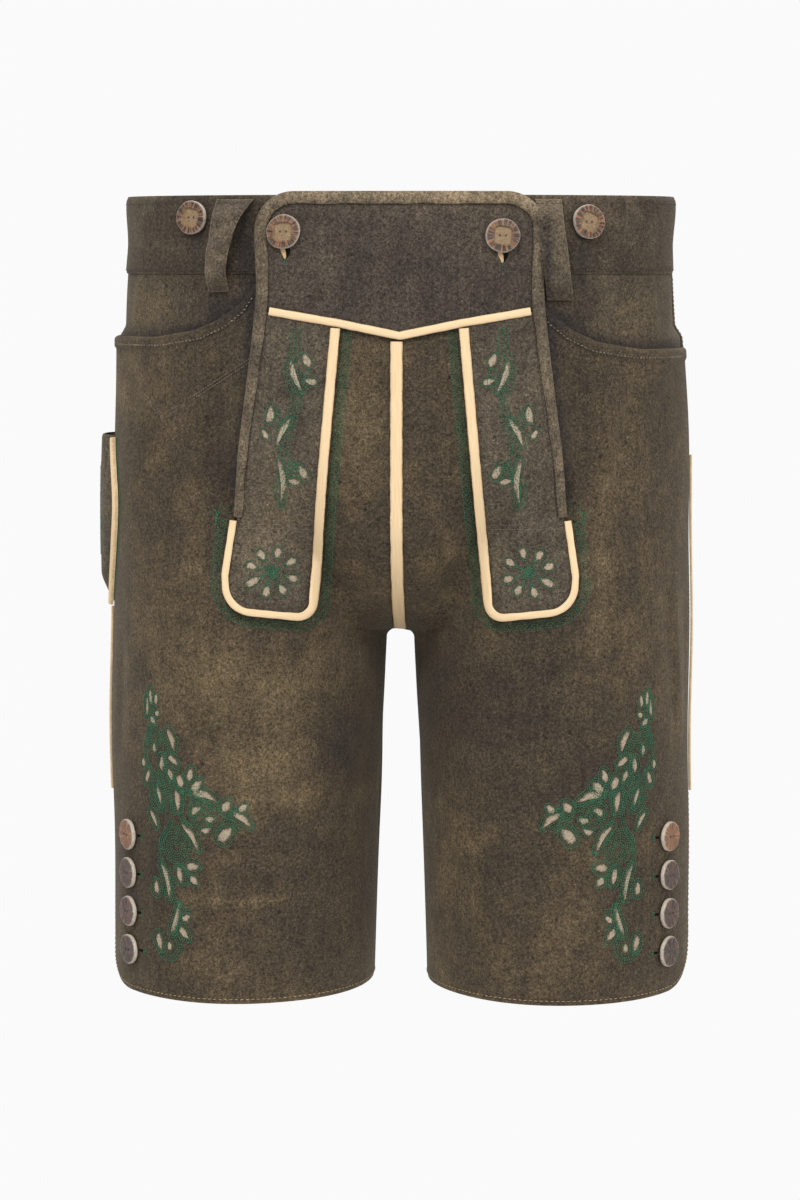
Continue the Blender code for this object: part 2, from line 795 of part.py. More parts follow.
# ---- Buttons
BUTTON_THICKNESS = 0.0032
BUTTON_EDGE = 0.0007
RECESS_DEPTH = 0.001
RECESS_SLOPE = 0.0006
THREAD_HOLE_ACROSS = 0.0019
THREAD_HOLE_RADIUS = 0.0009
NORMAL_STEP = 0.004
Button = namedtuple("Button", "name across height radius lift recess")
BUTTONS = [
    Button("flap_button_right", -0.0677, 0.0014, 0.0105, YOKE.outer, 0.0045),
    Button("flap_button_left", 0.0643, -0.0010, 0.0105, YOKE.outer, 0.0045),
    Button("waist_button_right", -0.1246, 0.0102, 0.0105, WAISTBAND.outer, 0.0045),
    Button("waist_button_left", 0.1161, 0.0076, 0.0105, WAISTBAND.outer, 0.0045),
]
HEM_BUTTON_TOP = -0.3755
HEM_BUTTON_PITCH = 0.0245
HEM_BUTTON_ACROSS = 0.1682
HEM_BUTTON_RADIUS = 0.0095
BUTTON_CLEAR = 0.0012


def turned_disc(profile, segments):
    """A closed disc turned about Z from (radius, height) points, the first and last on the axis."""
    data = bmesh.new()
    rings = []
    for radius, height in profile[1:-1]:
        angles = [2 * math.pi * k / segments for k in range(segments)]
        rings.append([data.verts.new((radius * math.cos(a), radius * math.sin(a), height)) for a in angles])
    data.faces.new(rings[0][::-1])
    data.faces.new(rings[-1])
    for one, other in zip(rings, rings[1:]):
        for k in range(segments):
            following = (k + 1) % segments
            data.faces.new([one[k], one[following], other[following], other[k]])
    return data


def thread_holes():
    """The cutter of a button's two thread holes."""
    data = bmesh.new()
    radius = THREAD_HOLE_RADIUS
    for x in (-THREAD_HOLE_ACROSS, THREAD_HOLE_ACROSS):
        made = bmesh.ops.create_cone(
            data, cap_ends=True, segments=8, radius1=radius, radius2=radius, depth=0.02
        )
        bmesh.ops.translate(data, verts=made["verts"], vec=(x, 0, 0))
    cutter = add_object("thread_holes", data, antler())
    cutter.hide_render = True
    cutter.display_type = "WIRE"
    return cutter


def button(name, across, height, radius, lift, recess, cutter):
    if recess:
        profile = [
            (0, 0),
            (radius - BUTTON_EDGE, 0),
            (radius, BUTTON_EDGE),
            (radius - BUTTON_EDGE, BUTTON_THICKNESS),
            (recess, BUTTON_THICKNESS),
            (recess - RECESS_SLOPE, BUTTON_THICKNESS - RECESS_DEPTH),
            (0, BUTTON_THICKNESS - RECESS_DEPTH),
        ]
    else:
        profile = [
            (0, 0),
            (radius - BUTTON_EDGE, 0),
            (radius, BUTTON_EDGE),
            (radius - BUTTON_EDGE, BUTTON_THICKNESS),
            (0, BUTTON_THICKNESS),
        ]
    disc = add_object(name, turned_disc(profile, 16), antler())
    step = NORMAL_STEP
    wide = on_front(across + step, height, lift) - on_front(across - step, height, lift)
    tall = on_front(across, height + step, lift) - on_front(across, height - step, lift)
    outward = wide.cross(tall).normalized()
    disc.location = on_front(across, height, lift) + outward * BUTTON_CLEAR
    disc.rotation_euler = outward.to_track_quat("Z", "Y").to_euler()
    bpy.context.view_layer.update()
    holes = cutter.copy()
    holes.matrix_world = disc.matrix_world
    bpy.context.collection.objects.link(holes)
    cut = disc.modifiers.new("thread holes", "BOOLEAN")
    cut.object = holes
    cut.operation = "DIFFERENCE"
    cut.solver = "EXACT"


def buttons():
    cutter = thread_holes()
    for row in BUTTONS:
        button(row.name, row.across, row.height, row.radius, row.lift, row.recess, cutter)
    for word, side in SIDES.items():
        for k in range(4):
            height = HEM_BUTTON_TOP - HEM_BUTTON_PITCH * k
            name = f"hem_button_{word}_{k + 1}"
            across = side * HEM_BUTTON_ACROSS
            button(name, across, height, HEM_BUTTON_RADIUS, LEG.outer, 0, cutter)


def main():
    for thing in list(bpy.data.objects):
        bpy.data.objects.remove(thing, do_unlink=True)
    for word, side in SIDES.items():
        waistband(word, side)
        hip_piece(word, side)
        front_panel(word, side)
        back_panel(word, side)
        slit_underlap(word, side)
        flap_band(word, side)
        band_piping(word, side)
    flap_yoke()
    flap_binding()
    yoke_piping()
    centre_strip()
    side_piping("right", SIDES["right"], KNIFE_POCKET[-1].height - 0.0035)
    side_piping("left", SIDES["left"], SIDE_PIPING_LEFT_TOP)
    knife_pocket()
    knife_pocket_piping()
    belt_loops()
    buttons()


main()
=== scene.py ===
import math
from collections import namedtuple

import bpy
import numpy as np
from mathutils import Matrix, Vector


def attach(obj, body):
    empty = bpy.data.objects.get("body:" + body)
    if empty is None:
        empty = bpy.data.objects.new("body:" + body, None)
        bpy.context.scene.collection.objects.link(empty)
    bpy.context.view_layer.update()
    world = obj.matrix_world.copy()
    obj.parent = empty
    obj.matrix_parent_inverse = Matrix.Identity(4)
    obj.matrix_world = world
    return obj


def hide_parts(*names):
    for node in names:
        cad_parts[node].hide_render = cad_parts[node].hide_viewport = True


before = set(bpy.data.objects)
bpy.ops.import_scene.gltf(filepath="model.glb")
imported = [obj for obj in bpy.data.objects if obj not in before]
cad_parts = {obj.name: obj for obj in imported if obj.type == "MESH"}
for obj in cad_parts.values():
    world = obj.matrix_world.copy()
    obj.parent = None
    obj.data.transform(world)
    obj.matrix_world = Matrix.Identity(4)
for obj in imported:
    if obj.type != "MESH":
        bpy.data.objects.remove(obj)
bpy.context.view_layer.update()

# ---- Camera and studio
# Short leather breeches, filled out as worn, seen from the front a little above the hem. Metres, +Z up,
# the wearer faces -Y. "right" and "left" are the wearer's: right is -X. The origin is the waist's middle.
scene = bpy.context.scene
scene.view_settings.view_transform = "Standard"

TARGET = Vector((-0.0006, 0.0, -0.2323))
DISTANCE, AZIMUTH, ELEVATION = 2.5, math.radians(1.6), math.radians(5.0)
camera_data = bpy.data.cameras.new("camera")
camera_data.lens = 117.2
camera = bpy.data.objects.new("camera", camera_data)
scene.collection.objects.link(camera)
outward = Vector((
    math.sin(AZIMUTH) * math.cos(ELEVATION),
    -math.cos(AZIMUTH) * math.cos(ELEVATION),
    math.sin(ELEVATION),
))
camera.location = TARGET + DISTANCE * outward
camera.rotation_euler = outward.to_track_quat("Z", "Y").to_euler()
scene.camera = camera

STUDIO_WHITE = 0.956
world = bpy.data.worlds.new("studio")
world.use_nodes = True
studio = world.node_tree
upward = studio.nodes.new("ShaderNodeSeparateXYZ")
studio.links.new(studio.nodes.new("ShaderNodeTexCoord").outputs["Generated"], upward.inputs[0])
fading = studio.nodes.new("ShaderNodeMapRange")
DIM_BELOW, WHITE_ABOVE, DIMMEST = -0.50, -0.26, 0.25
for name, value in (
    ("From Min", DIM_BELOW), ("From Max", WHITE_ABOVE), ("To Min", DIMMEST), ("To Max", 1.0)
):
    fading.inputs[name].default_value = value
studio.links.new(upward.outputs["Z"], fading.inputs["Value"])
studio.nodes["Background"].inputs["Color"].default_value = (STUDIO_WHITE,) * 3 + (1.0,)
studio.links.new(fading.outputs["Result"], studio.nodes["Background"].inputs["Strength"])
scene.world = world


def soft_light(name, place, size, watts):
    """A square panel light that looks at the garment."""
    data = bpy.data.lights.new(name, "AREA")
    data.size = size
    data.energy = watts
    light = bpy.data.objects.new(name, data)
    light.location = place
    light.rotation_euler = (Vector(place) - TARGET).to_track_quat("Z", "Y").to_euler()
    scene.collection.objects.link(light)


soft_light("key light", (-0.5, -2.1, 2.0), 0.8, 45.0)
soft_light("fill light", (1.7, -2.0, 1.0), 1.2, 19.0)
soft_light("back light", (0.6, 2.4, 1.3), 1.8, 22.0)

WAIST_ABOVE_FLOOR, FLOOR_RADIUS, FLOOR_SIDES = 1.0, 1.35, 96
floor_mesh = bpy.data.meshes.new("floor")
floor_mesh.from_pydata([
    (FLOOR_RADIUS * math.cos(2 * math.pi * k / FLOOR_SIDES),
     FLOOR_RADIUS * math.sin(2 * math.pi * k / FLOOR_SIDES), -WAIST_ABOVE_FLOOR)
    for k in range(FLOOR_SIDES)
], [], [tuple(range(FLOOR_SIDES))])
floor = bpy.data.objects.new("floor", floor_mesh)
scene.collection.objects.link(floor)
floor_finish = bpy.data.materials.new("studio floor")
floor_finish.use_nodes = True
floor_shader = floor_finish.node_tree.nodes["Principled BSDF"]
floor_shader.inputs["Base Color"].default_value = (0.80, 0.80, 0.79, 1.0)
floor_shader.inputs["Roughness"].default_value = 0.9
floor_mesh.materials.append(floor_finish)


# ---- Fronts with their legs
# Each front is one piece of brown suede from the flap's centre and the hip down to the hem, slit beside
# the flap, 1.8 mm thick. The places where it has creased and rubbed pale with wear are listed in tables.
# A place on a half is (turn, height, lift): turn runs from 0 at the centre front or inside leg, through
# 1 at the side seam, to 2 at the centre back; lift is how far the layer stands out from the body.
SEAM_GAP, CROTCH, HEM, SLIT_TOP = 0.0004, -0.2452, -0.4740, -0.354
BAND_TOP, BAND_FOOT = 0.024, -0.024
HEM_DIP, HEM_CORNER_RUN, HEM_CORNER_RISE = 0.004, 0.052, 0.0353
FRONT_ARCH, BACK_ARCH, CROTCH_FLOOR, BRIDGE_REACH = 0.075, 0.100, 0.006, 0.07
TORSO_SQUARENESS = 2.3
FLAP_SHIFT, FLAP_SEWN, SLIT_INSET, FLAP_LIFT = 0.0025, -0.173, 0.009, 0.0008
YOKE_SIDE_FOOT, COLUMNS_SPACED_AT, SLIT_OPEN = -0.046, -0.05, 0.0015
SIDES = {"right": -1, "left": 1}
Layer = namedtuple("Layer", "inner outer")
LEG = Layer(0.0021, 0.0039)

Torso = namedtuple("Torso", "height half_width front back")
TORSO = (
    Torso(0.040, 0.1705, 0.1075, 0.1135),
    Torso(0.024, 0.1713, 0.1080, 0.1140),
    Torso(-0.024, 0.1743, 0.1120, 0.1200),
    Torso(-0.090, 0.1766, 0.1175, 0.1330),
    Torso(-0.170, 0.1791, 0.1180, 0.1400),
    Torso(CROTCH, 0.1801, 0.1110, 0.1340),
    Torso(-0.500, 0.1801, 0.1110, 0.1340),
)
Leg = namedtuple("Leg", "height outer inner front back")
LEGS = (
    Leg(0.040, 0.1705, 0.0, 0.1060, 0.1220),
    Leg(-0.024, 0.1743, 0.0, 0.1065, 0.1240),
    Leg(-0.170, 0.1791, 0.0060, 0.1075, 0.1280),
    Leg(CROTCH, 0.1801, 0.0124, 0.1045, 0.1195),
    Leg(-0.360, 0.1801, 0.0169, 0.0945, 0.1040),
    Leg(-0.500, 0.1807, 0.0214, 0.0815, 0.0830),
)
FlapEdge = namedtuple("FlapEdge", "height half_width")
FLAP_EDGE = (
    FlapEdge(0.024, 0.0885),
    FlapEdge(0.000, 0.0888),
    FlapEdge(-0.037, 0.0877),
    FlapEdge(-0.063, 0.0902),
    FlapEdge(-0.100, 0.0947),
    FlapEdge(-0.136, 0.0992),
    FlapEdge(FLAP_SEWN, 0.1024),
    FlapEdge(-0.208, 0.1072),
    FlapEdge(-0.240, 0.1085),
)

# `around` is the distance round from the centre front, plus to the left: the side seam is at 0.27 and
# the centre back at 0.54. A minus depth is a trough, a plus one a ridge.
HALF_ROUND = 0.27
Crease = namedtuple("Crease", "around height to_around to_height bow width depth")
CREASES = (
    # beside the flap
    Crease(-0.101, -0.058, -0.113, -0.192, 0.003, 0.011, -0.0026),
    Crease(-0.124, -0.085, -0.138, -0.205, 0.004, 0.012, 0.0014),
    Crease(0.101, -0.066, 0.117, -0.196, -0.003, 0.011, -0.0026),
    Crease(0.127, -0.082, 0.150, -0.225, -0.005, 0.013, 0.0015),
    Crease(0.157, -0.095, 0.118, -0.158, 0.004, 0.008, -0.0011),
    Crease(-0.166, -0.118, -0.122, -0.160, -0.003, 0.007, -0.0009),
    # hips, under the waistband
    Crease(-0.152, -0.026, -0.146, -0.062, 0.002, 0.006, -0.0009),
    Crease(-0.196, -0.024, -0.205, -0.058, 0.002, 0.008, 0.0009),
    Crease(0.146, -0.030, 0.137, -0.064, 0.002, 0.006, -0.0010),
    Crease(0.181, -0.027, 0.186, -0.066, -0.002, 0.008, 0.0008),
    Crease(-0.235, -0.075, -0.180, -0.105, 0.006, 0.010, -0.0010),
    Crease(0.228, -0.085, 0.176, -0.120, -0.006, 0.010, -0.0009),
    # from the crotch
    Crease(-0.006, -0.236, -0.062, -0.196, 0.004, 0.008, -0.0014),
    Crease(0.006, -0.234, 0.055, -0.186, -0.004, 0.008, -0.0013),
    Crease(-0.014, -0.262, -0.078, -0.252, -0.005, 0.009, -0.0011),
    Crease(0.014, -0.266, 0.070, -0.262, 0.004, 0.009, -0.0010),
    Crease(0.030, -0.282, 0.112, -0.262, 0.006, 0.013, 0.0009),
    # thighs and hems
    Crease(-0.145, -0.236, -0.225, -0.262, 0.006, 0.014, 0.0010),
    Crease(-0.090, -0.392, -0.168, -0.389, 0.003, 0.0055, 0.0009),
    Crease(-0.082, -0.381, -0.172, -0.377, 0.003, 0.0070, -0.0007),
    Crease(-0.030, -0.322, -0.092, -0.372, 0.006, 0.010, -0.0010),
    Crease(-0.052, -0.425, -0.120, -0.446, -0.004, 0.009, -0.0008),
    Crease(-0.110, -0.300, -0.170, -0.330, 0.005, 0.011, -0.0008),
    Crease(0.070, -0.459, 0.148, -0.414, -0.004, 0.0050, -0.0015),
    Crease(0.078, -0.447, 0.140, -0.405, -0.004, 0.0090, 0.0009),
    Crease(0.028, -0.326, 0.098, -0.352, 0.004, 0.009, -0.0010),
    Crease(0.106, -0.368, 0.060, -0.410, 0.006, 0.011, -0.0008),
    Crease(0.120, -0.292, 0.186, -0.318, -0.005, 0.012, -0.0009),
    Crease(0.212, -0.215, 0.222, -0.302, 0.003, 0.005, -0.0009),
    Crease(0.228, -0.205, 0.236, -0.318, -0.003, 0.006, 0.0009),
    Crease(0.243, -0.222, 0.248, -0.300, 0.002, 0.005, -0.0008),
    Crease(-0.228, -0.246, -0.236, -0.330, 0.003, 0.006, -0.0008),
    # seat and the backs of the legs
    Crease(-0.520, -0.236, -0.395, -0.214, 0.012, 0.011, -0.0022),
    Crease(-0.515, -0.262, -0.372, -0.262, 0.010, 0.012, -0.0019),
    Crease(-0.505, -0.290, -0.400, -0.305, 0.006, 0.010, -0.0014),
    Crease(-0.470, -0.160, -0.360, -0.195, -0.010, 0.016, -0.0014),
    Crease(0.522, -0.231, 0.388, -0.222, -0.010, 0.011, -0.0021),
    Crease(0.516, -0.258, 0.380, -0.270, -0.011, 0.012, -0.0020),
    Crease(0.500, -0.296, 0.412, -0.300, -0.005, 0.009, -0.0013),
    Crease(0.462, -0.150, 0.352, -0.190, 0.009, 0.016, -0.0015),
    Crease(-0.455, -0.372, -0.345, -0.392, 0.006, 0.010, -0.0012),
    Crease(-0.480, -0.402, -0.388, -0.410, -0.004, 0.008, -0.0009),
    Crease(0.462, -0.380, 0.350, -0.384, -0.006, 0.010, -0.0012),
    Crease(0.440, -0.418, 0.362, -0.428, 0.004, 0.008, -0.0008),
    Crease(-0.330, -0.060, -0.372, -0.120, 0.006, 0.010, -0.0011),
    Crease(0.326, -0.056, 0.380, -0.112, -0.006, 0.010, -0.0012),
    Crease(-0.300, -0.205, -0.345, -0.262, 0.006, 0.012, -0.0012),
    Crease(0.298, -0.196, 0.350, -0.250, -0.006, 0.012, -0.0013),
)
CREASING, SWELL = 1.45, 0.0006
SIDE_HOLLOW = 0.0042


def column(table, name, height):
    """One named column of a table, read at heights as a smooth curve through its rows."""
    rows = sorted(table, key=lambda row: row.height)
    heights = np.array([row.height for row in rows])
    values = np.array([getattr(row, name) for row in rows])
    slopes = np.gradient(values, heights)
    height = np.clip(height, heights[0], heights[-1])
    low = np.clip(np.searchsorted(heights, height, side="right") - 1, 0, len(rows) - 2)
    span = heights[low + 1] - heights[low]
    u = (height - heights[low]) / span
    return (
        values[low] * (1 + 2 * u) * (1 - u) ** 2
        + values[low + 1] * u * u * (3 - 2 * u)
        + slopes[low] * span * u * (1 - u) ** 2
        - slopes[low + 1] * span * u * u * (1 - u)
    )


def smooth(u):
    u = np.clip(u, 0.0, 1.0)
    return u * u * (3 - 2 * u)


def quarter_arc(u):
    """Rises from 0 to 1 as a quarter circle does."""
    return np.sqrt(1 - (1 - np.clip(u, 0.0, 1.0)) ** 2)


def relief(side, turn, height):
    """How far the creases push the leather out or in."""
    around = side * turn * HALF_ROUND
    raised = SWELL * (
        np.sin(41 * around + 23 * height + 0.6)
        + 0.7 * np.sin(-29 * around + 47 * height + 2.1)
        + 0.5 * np.sin(73 * around - 31 * height + 4.0)
    )
    for crease in CREASES:
        run = np.array((crease.to_around - crease.around, crease.to_height - crease.height))
        length = np.linalg.norm(run)
        run /= length
        across, up = around - crease.around, height - crease.height
        t = (across * run[0] + up * run[1]) / length
        off = up * run[0] - across * run[1] - crease.bow * 4 * t * (1 - t)
        ends = smooth((t + 0.12) / 0.35) * smooth((1.12 - t) / 0.35)
        raised = raised + CREASING * crease.depth * ends * np.exp(-((off / crease.width) ** 2))
    raised = raised * smooth((2 - turn) / 0.06) * smooth((BAND_TOP + 0.010 - height) / 0.06)
    above_pocket = smooth((height + 0.0655) / 0.010) * (0.25 + 0.75 * smooth((0.020 - height) / 0.030))
    return raised - SIDE_HOLLOW * above_pocket * np.exp(-(((turn - 1) / 0.22) ** 2))


def surface(side, turn, height, lift=0.0, creased=True):
    """Points of one half of the garment, standing `lift` out from the body."""
    turn, height, lift = np.broadcast_arrays(*(np.asarray(v, float) for v in (turn, height, lift)))
    if creased:
        lift = lift + relief(side, turn, height)
    behind = turn > 1
    part = np.where(behind, 2 - turn, turn)

    def depth(table):
        return np.where(behind, column(table, "back", height), column(table, "front", height)) + lift

    outer = column(LEGS, "outer", height) + lift
    gap = column(LEGS, "inner", height)
    gap = gap - lift * np.minimum(1.0, gap / column(LEGS, "inner", np.array(CROTCH)))
    bridge = 1 - quarter_arc((CROTCH - height) / CROTCH_FLOOR)
    leg_x = (outer + gap) / 2 - (outer - gap) / 2 * np.cos(np.pi * part)
    leg_x = leg_x - gap * bridge * np.exp(-((part / BRIDGE_REACH) ** 2))
    leg_y = depth(LEGS) * np.sin(np.pi * part)
    power = 2 / TORSO_SQUARENESS
    half_width = column(TORSO, "half_width", height) + lift
    torso_x = half_width * np.clip(np.sin(np.pi / 2 * part), 0, 1) ** power
    torso_y = depth(TORSO) * np.clip(np.cos(np.pi / 2 * part), 0, 1) ** power
    above = (height - CROTCH) / np.where(behind, BACK_ARCH, FRONT_ARCH)
    near_seam = np.exp(-((part / 0.2) ** 2))
    share = near_seam * quarter_arc(above) + (1 - near_seam) * smooth((height - CROTCH) / 0.12)
    x = (1 - share) * leg_x + share * torso_x
    y = (1 - share) * leg_y + share * torso_y
    fade = np.where(above >= 0, 1 - above, 1 + (height - CROTCH) / 0.03)
    drop = lift * near_seam * np.clip(fade, 0, 1)
    return np.stack([side * (x + SEAM_GAP / 2), np.where(behind, y, -y), height - drop], axis=-1)


def turn_at(side, x, height, lift=0.0, behind=False):
    """The turn whose point lies `x` out from the middle, on the front or, behind, on the back."""
    x, height, lift = np.broadcast_arrays(*(np.asarray(v, float) for v in (x, height, lift)))
    low, high = np.zeros(x.shape), np.ones(x.shape)
    for _ in range(26):
        middle = (low + high) / 2
        turn = 2 - middle if behind else middle
        short = surface(side, turn, height, lift, creased=False)[..., 0] * side < x
        low, high = np.where(short, middle, low), np.where(short, high, middle)
    return 2 - low if behind else low


def on_face(x, height, lift, behind=False):
    """The points of the front, or the back, at signed distances across from the middle."""
    x, height, lift = np.broadcast_arrays(*(np.asarray(v, float) for v in (x, height, lift)))
    found = np.empty(x.shape + (3,))
    for side in SIDES.values():
        here = (x >= 0) == (side > 0)
        turn = turn_at(side, abs(x[here]), height[here], lift[here], behind)
        found[here] = surface(side, turn, height[here], lift[here])
    found[..., 0] = x
    return found


def side_speed(side, height, lift):
    """Metres round the body for one whole turn, at the pace of the side seam."""
    step = 0.01
    at_seam, ahead = (surface(side, turn, height, lift, creased=False) for turn in (1.0, 1.0 - step))
    return np.linalg.norm(at_seam - ahead, axis=-1) / step


def on_side(side, forward, height, lift):
    """The points at distances round the body in front of (or, negative, behind) the side seam."""
    return surface(side, 1 - forward / side_speed(side, height, lift), height, lift)


def hem_height(forward, dip=0.0):
    """The lower edge: it rises to the side slit in a round corner."""
    return HEM - dip + HEM_CORNER_RISE * (1 - quarter_arc(forward / HEM_CORNER_RUN))


def hem_forward(side, turn):
    """How far round the hem a turn lies from the side slit."""
    return abs(1 - turn) * side_speed(side, HEM, LEG.outer)


def flap_half(height):
    return column(FLAP_EDGE, "half_width", height)


YokeFoot = namedtuple("YokeFoot", "across height")
YOKE_FOOT = (YokeFoot(0.0, -0.0612), YokeFoot(0.038, -0.0535), YokeFoot(0.100, -0.0430))
PocketEdge = namedtuple("PocketEdge", "across height")
POCKET_EDGE = (
    PocketEdge(0.0800, -0.0240),
    PocketEdge(0.0870, -0.0324),
    PocketEdge(0.0933, -0.0416),
    PocketEdge(0.1045, -0.0507),
    PocketEdge(0.1204, -0.0582),
    PocketEdge(0.1466, -0.0628),
    PocketEdge(0.1900, -0.0632),
)
POCKET_DROP = {-1: 0.0, 1: 0.0075}
POCKET_HEM, POCKET_FOLD = 0.0085, 0.0012


def yoke_foot(across):
    return np.interp(abs(across), [row.across for row in YOKE_FOOT], [row.height for row in YOKE_FOOT])


def pocket_edge(side, across):
    across_at, height_at = zip(*POCKET_EDGE)
    return np.interp(across, across_at, height_at) - POCKET_DROP[side]


def flap_raise(height):
    """How much further out the flap's part of the front lies than the leg it grows from."""
    return FLAP_LIFT * smooth((height - FLAP_SEWN) / 0.1)


# Where the leather has rubbed pale (plus) or is greasy and dark (minus), with some minus spots that are
# painted shade, each noted: middle, half sizes, strength.
Wear = namedtuple("Wear", "across height half_across half_height strength")
FRONT_WEAR_AND_SHADE = (
    Wear(-0.100, -0.268, 0.042, 0.022, 0.55),
    Wear(-0.078, -0.328, 0.040, 0.026, 0.85),
    Wear(-0.070, -0.350, 0.040, 0.006, 0.35),
    Wear(-0.150, -0.238, 0.026, 0.024, 0.30),
    Wear(-0.095, -0.412, 0.030, 0.0035, 0.75),
    Wear(-0.120, -0.452, 0.034, 0.012, 0.35),
    Wear(-0.125, -0.190, 0.014, 0.040, 0.50),
    Wear(-0.150, -0.095, 0.030, 0.026, 0.25),
    Wear(-0.034, -0.325, 0.018, 0.028, -0.75),
    Wear(-0.060, -0.440, 0.034, 0.018, -0.35),
    Wear(-0.168, -0.400, 0.014, 0.060, -0.30),
    # painted shade in the trough beside the flap's right edge
    Wear(-0.110, -0.130, 0.010, 0.055, -0.55),
    Wear(-0.026, -0.130, 0.016, 0.060, 0.35),
    Wear(-0.026, -0.215, 0.016, 0.024, 0.25),
    Wear(0.022, -0.105, 0.014, 0.055, -0.20),
    Wear(0.024, -0.200, 0.016, 0.040, 0.35),
    Wear(0.062, -0.288, 0.050, 0.040, -0.55),
    Wear(0.032, -0.398, 0.024, 0.040, 0.40),
    Wear(0.060, -0.352, 0.030, 0.020, -0.10),
    Wear(0.085, -0.350, 0.040, 0.050, -0.35),
    Wear(0.095, -0.455, 0.044, 0.016, 0.40),
    Wear(0.084, -0.392, 0.030, 0.016, -0.30),
    Wear(0.140, -0.262, 0.022, 0.040, 0.25),
    Wear(0.122, -0.205, 0.014, 0.040, 0.40),
    Wear(0.142, -0.140, 0.028, 0.050, 0.25),
    # painted shade in the trough beside the flap's left edge
    Wear(0.112, -0.130, 0.010, 0.055, -0.55),
    Wear(-0.146, -0.345, 0.016, 0.050, -0.50),
    Wear(-0.140, -0.420, 0.012, 0.034, -0.40),
    Wear(0.148, -0.345, 0.016, 0.050, -0.50),
    Wear(0.142, -0.420, 0.012, 0.034, -0.40),
    # painted shadow beside and under the front belt loops, darkest between the right loop and the flap
    Wear(-0.092, -0.012, 0.006, 0.024, -1.30),
    Wear(0.092, -0.014, 0.004, 0.024, -1.20),
    Wear(-0.122, -0.005, 0.006, 0.022, -0.60),
    Wear(0.114, -0.012, 0.006, 0.024, -0.70),
    # painted shadow just above the pockets' mouths
    Wear(-0.104, -0.046, 0.016, 0.007, -0.90),
    Wear(0.104, -0.052, 0.014, 0.007, -0.90),
    Wear(-0.150, -0.045, 0.020, 0.014, 0.40),
    Wear(0.0, 0.020, 0.070, 0.007, 0.40),
    Wear(0.0, -0.030, 0.060, 0.022, -0.25),
)
BACK_WEAR = (
    Wear(-0.080, -0.175, 0.055, 0.055, 0.55),
    Wear(0.075, -0.185, 0.055, 0.050, 0.60),
    Wear(0.0, -0.120, 0.020, 0.070, -0.35),
    Wear(-0.095, -0.330, 0.050, 0.030, 0.30),
    Wear(0.100, -0.340, 0.045, 0.035, 0.35),
    Wear(-0.090, -0.420, 0.040, 0.020, -0.35),
    Wear(0.085, -0.430, 0.045, 0.020, -0.30),
)


def node(tree, kind, inputs=None, **settings):
    """Adds a node, sets it up and joins or fills its inputs."""
    made = tree.nodes.new(kind)
    for name, value in settings.items():
        setattr(made, name, value)
    for key, value in (inputs or {}).items():
        if isinstance(value, bpy.types.NodeSocket):
            tree.links.new(value, made.inputs[key])
        else:
            made.inputs[key].default_value = value
    return made


def blended(tree, amount, low, high):
    mix = node(tree, "ShaderNodeMix", {0: amount, 6: low, 7: high}, data_type="RGBA")
    return mix.outputs[2]


def spread(tree, value, low, high, to_low, to_high):
    """Maps a value from one range to another and holds it there."""
    inputs = {"Value": value, "From Min": low, "From Max": high, "To Min": to_low, "To Max": to_high}
    return node(tree, "ShaderNodeMapRange", inputs).outputs["Result"]


def noise(tree, place, scale, detail=3.0, roughness=0.55):
    inputs = {"Vector": place, "Scale": scale, "Detail": detail, "Roughness": roughness}
    return node(tree, "ShaderNodeTexNoise", inputs).outputs["Fac"]


def math_of(tree, operation, first, second):
    return node(tree, "ShaderNodeMath", {0: first, 1: second}, operation=operation).outputs[0]


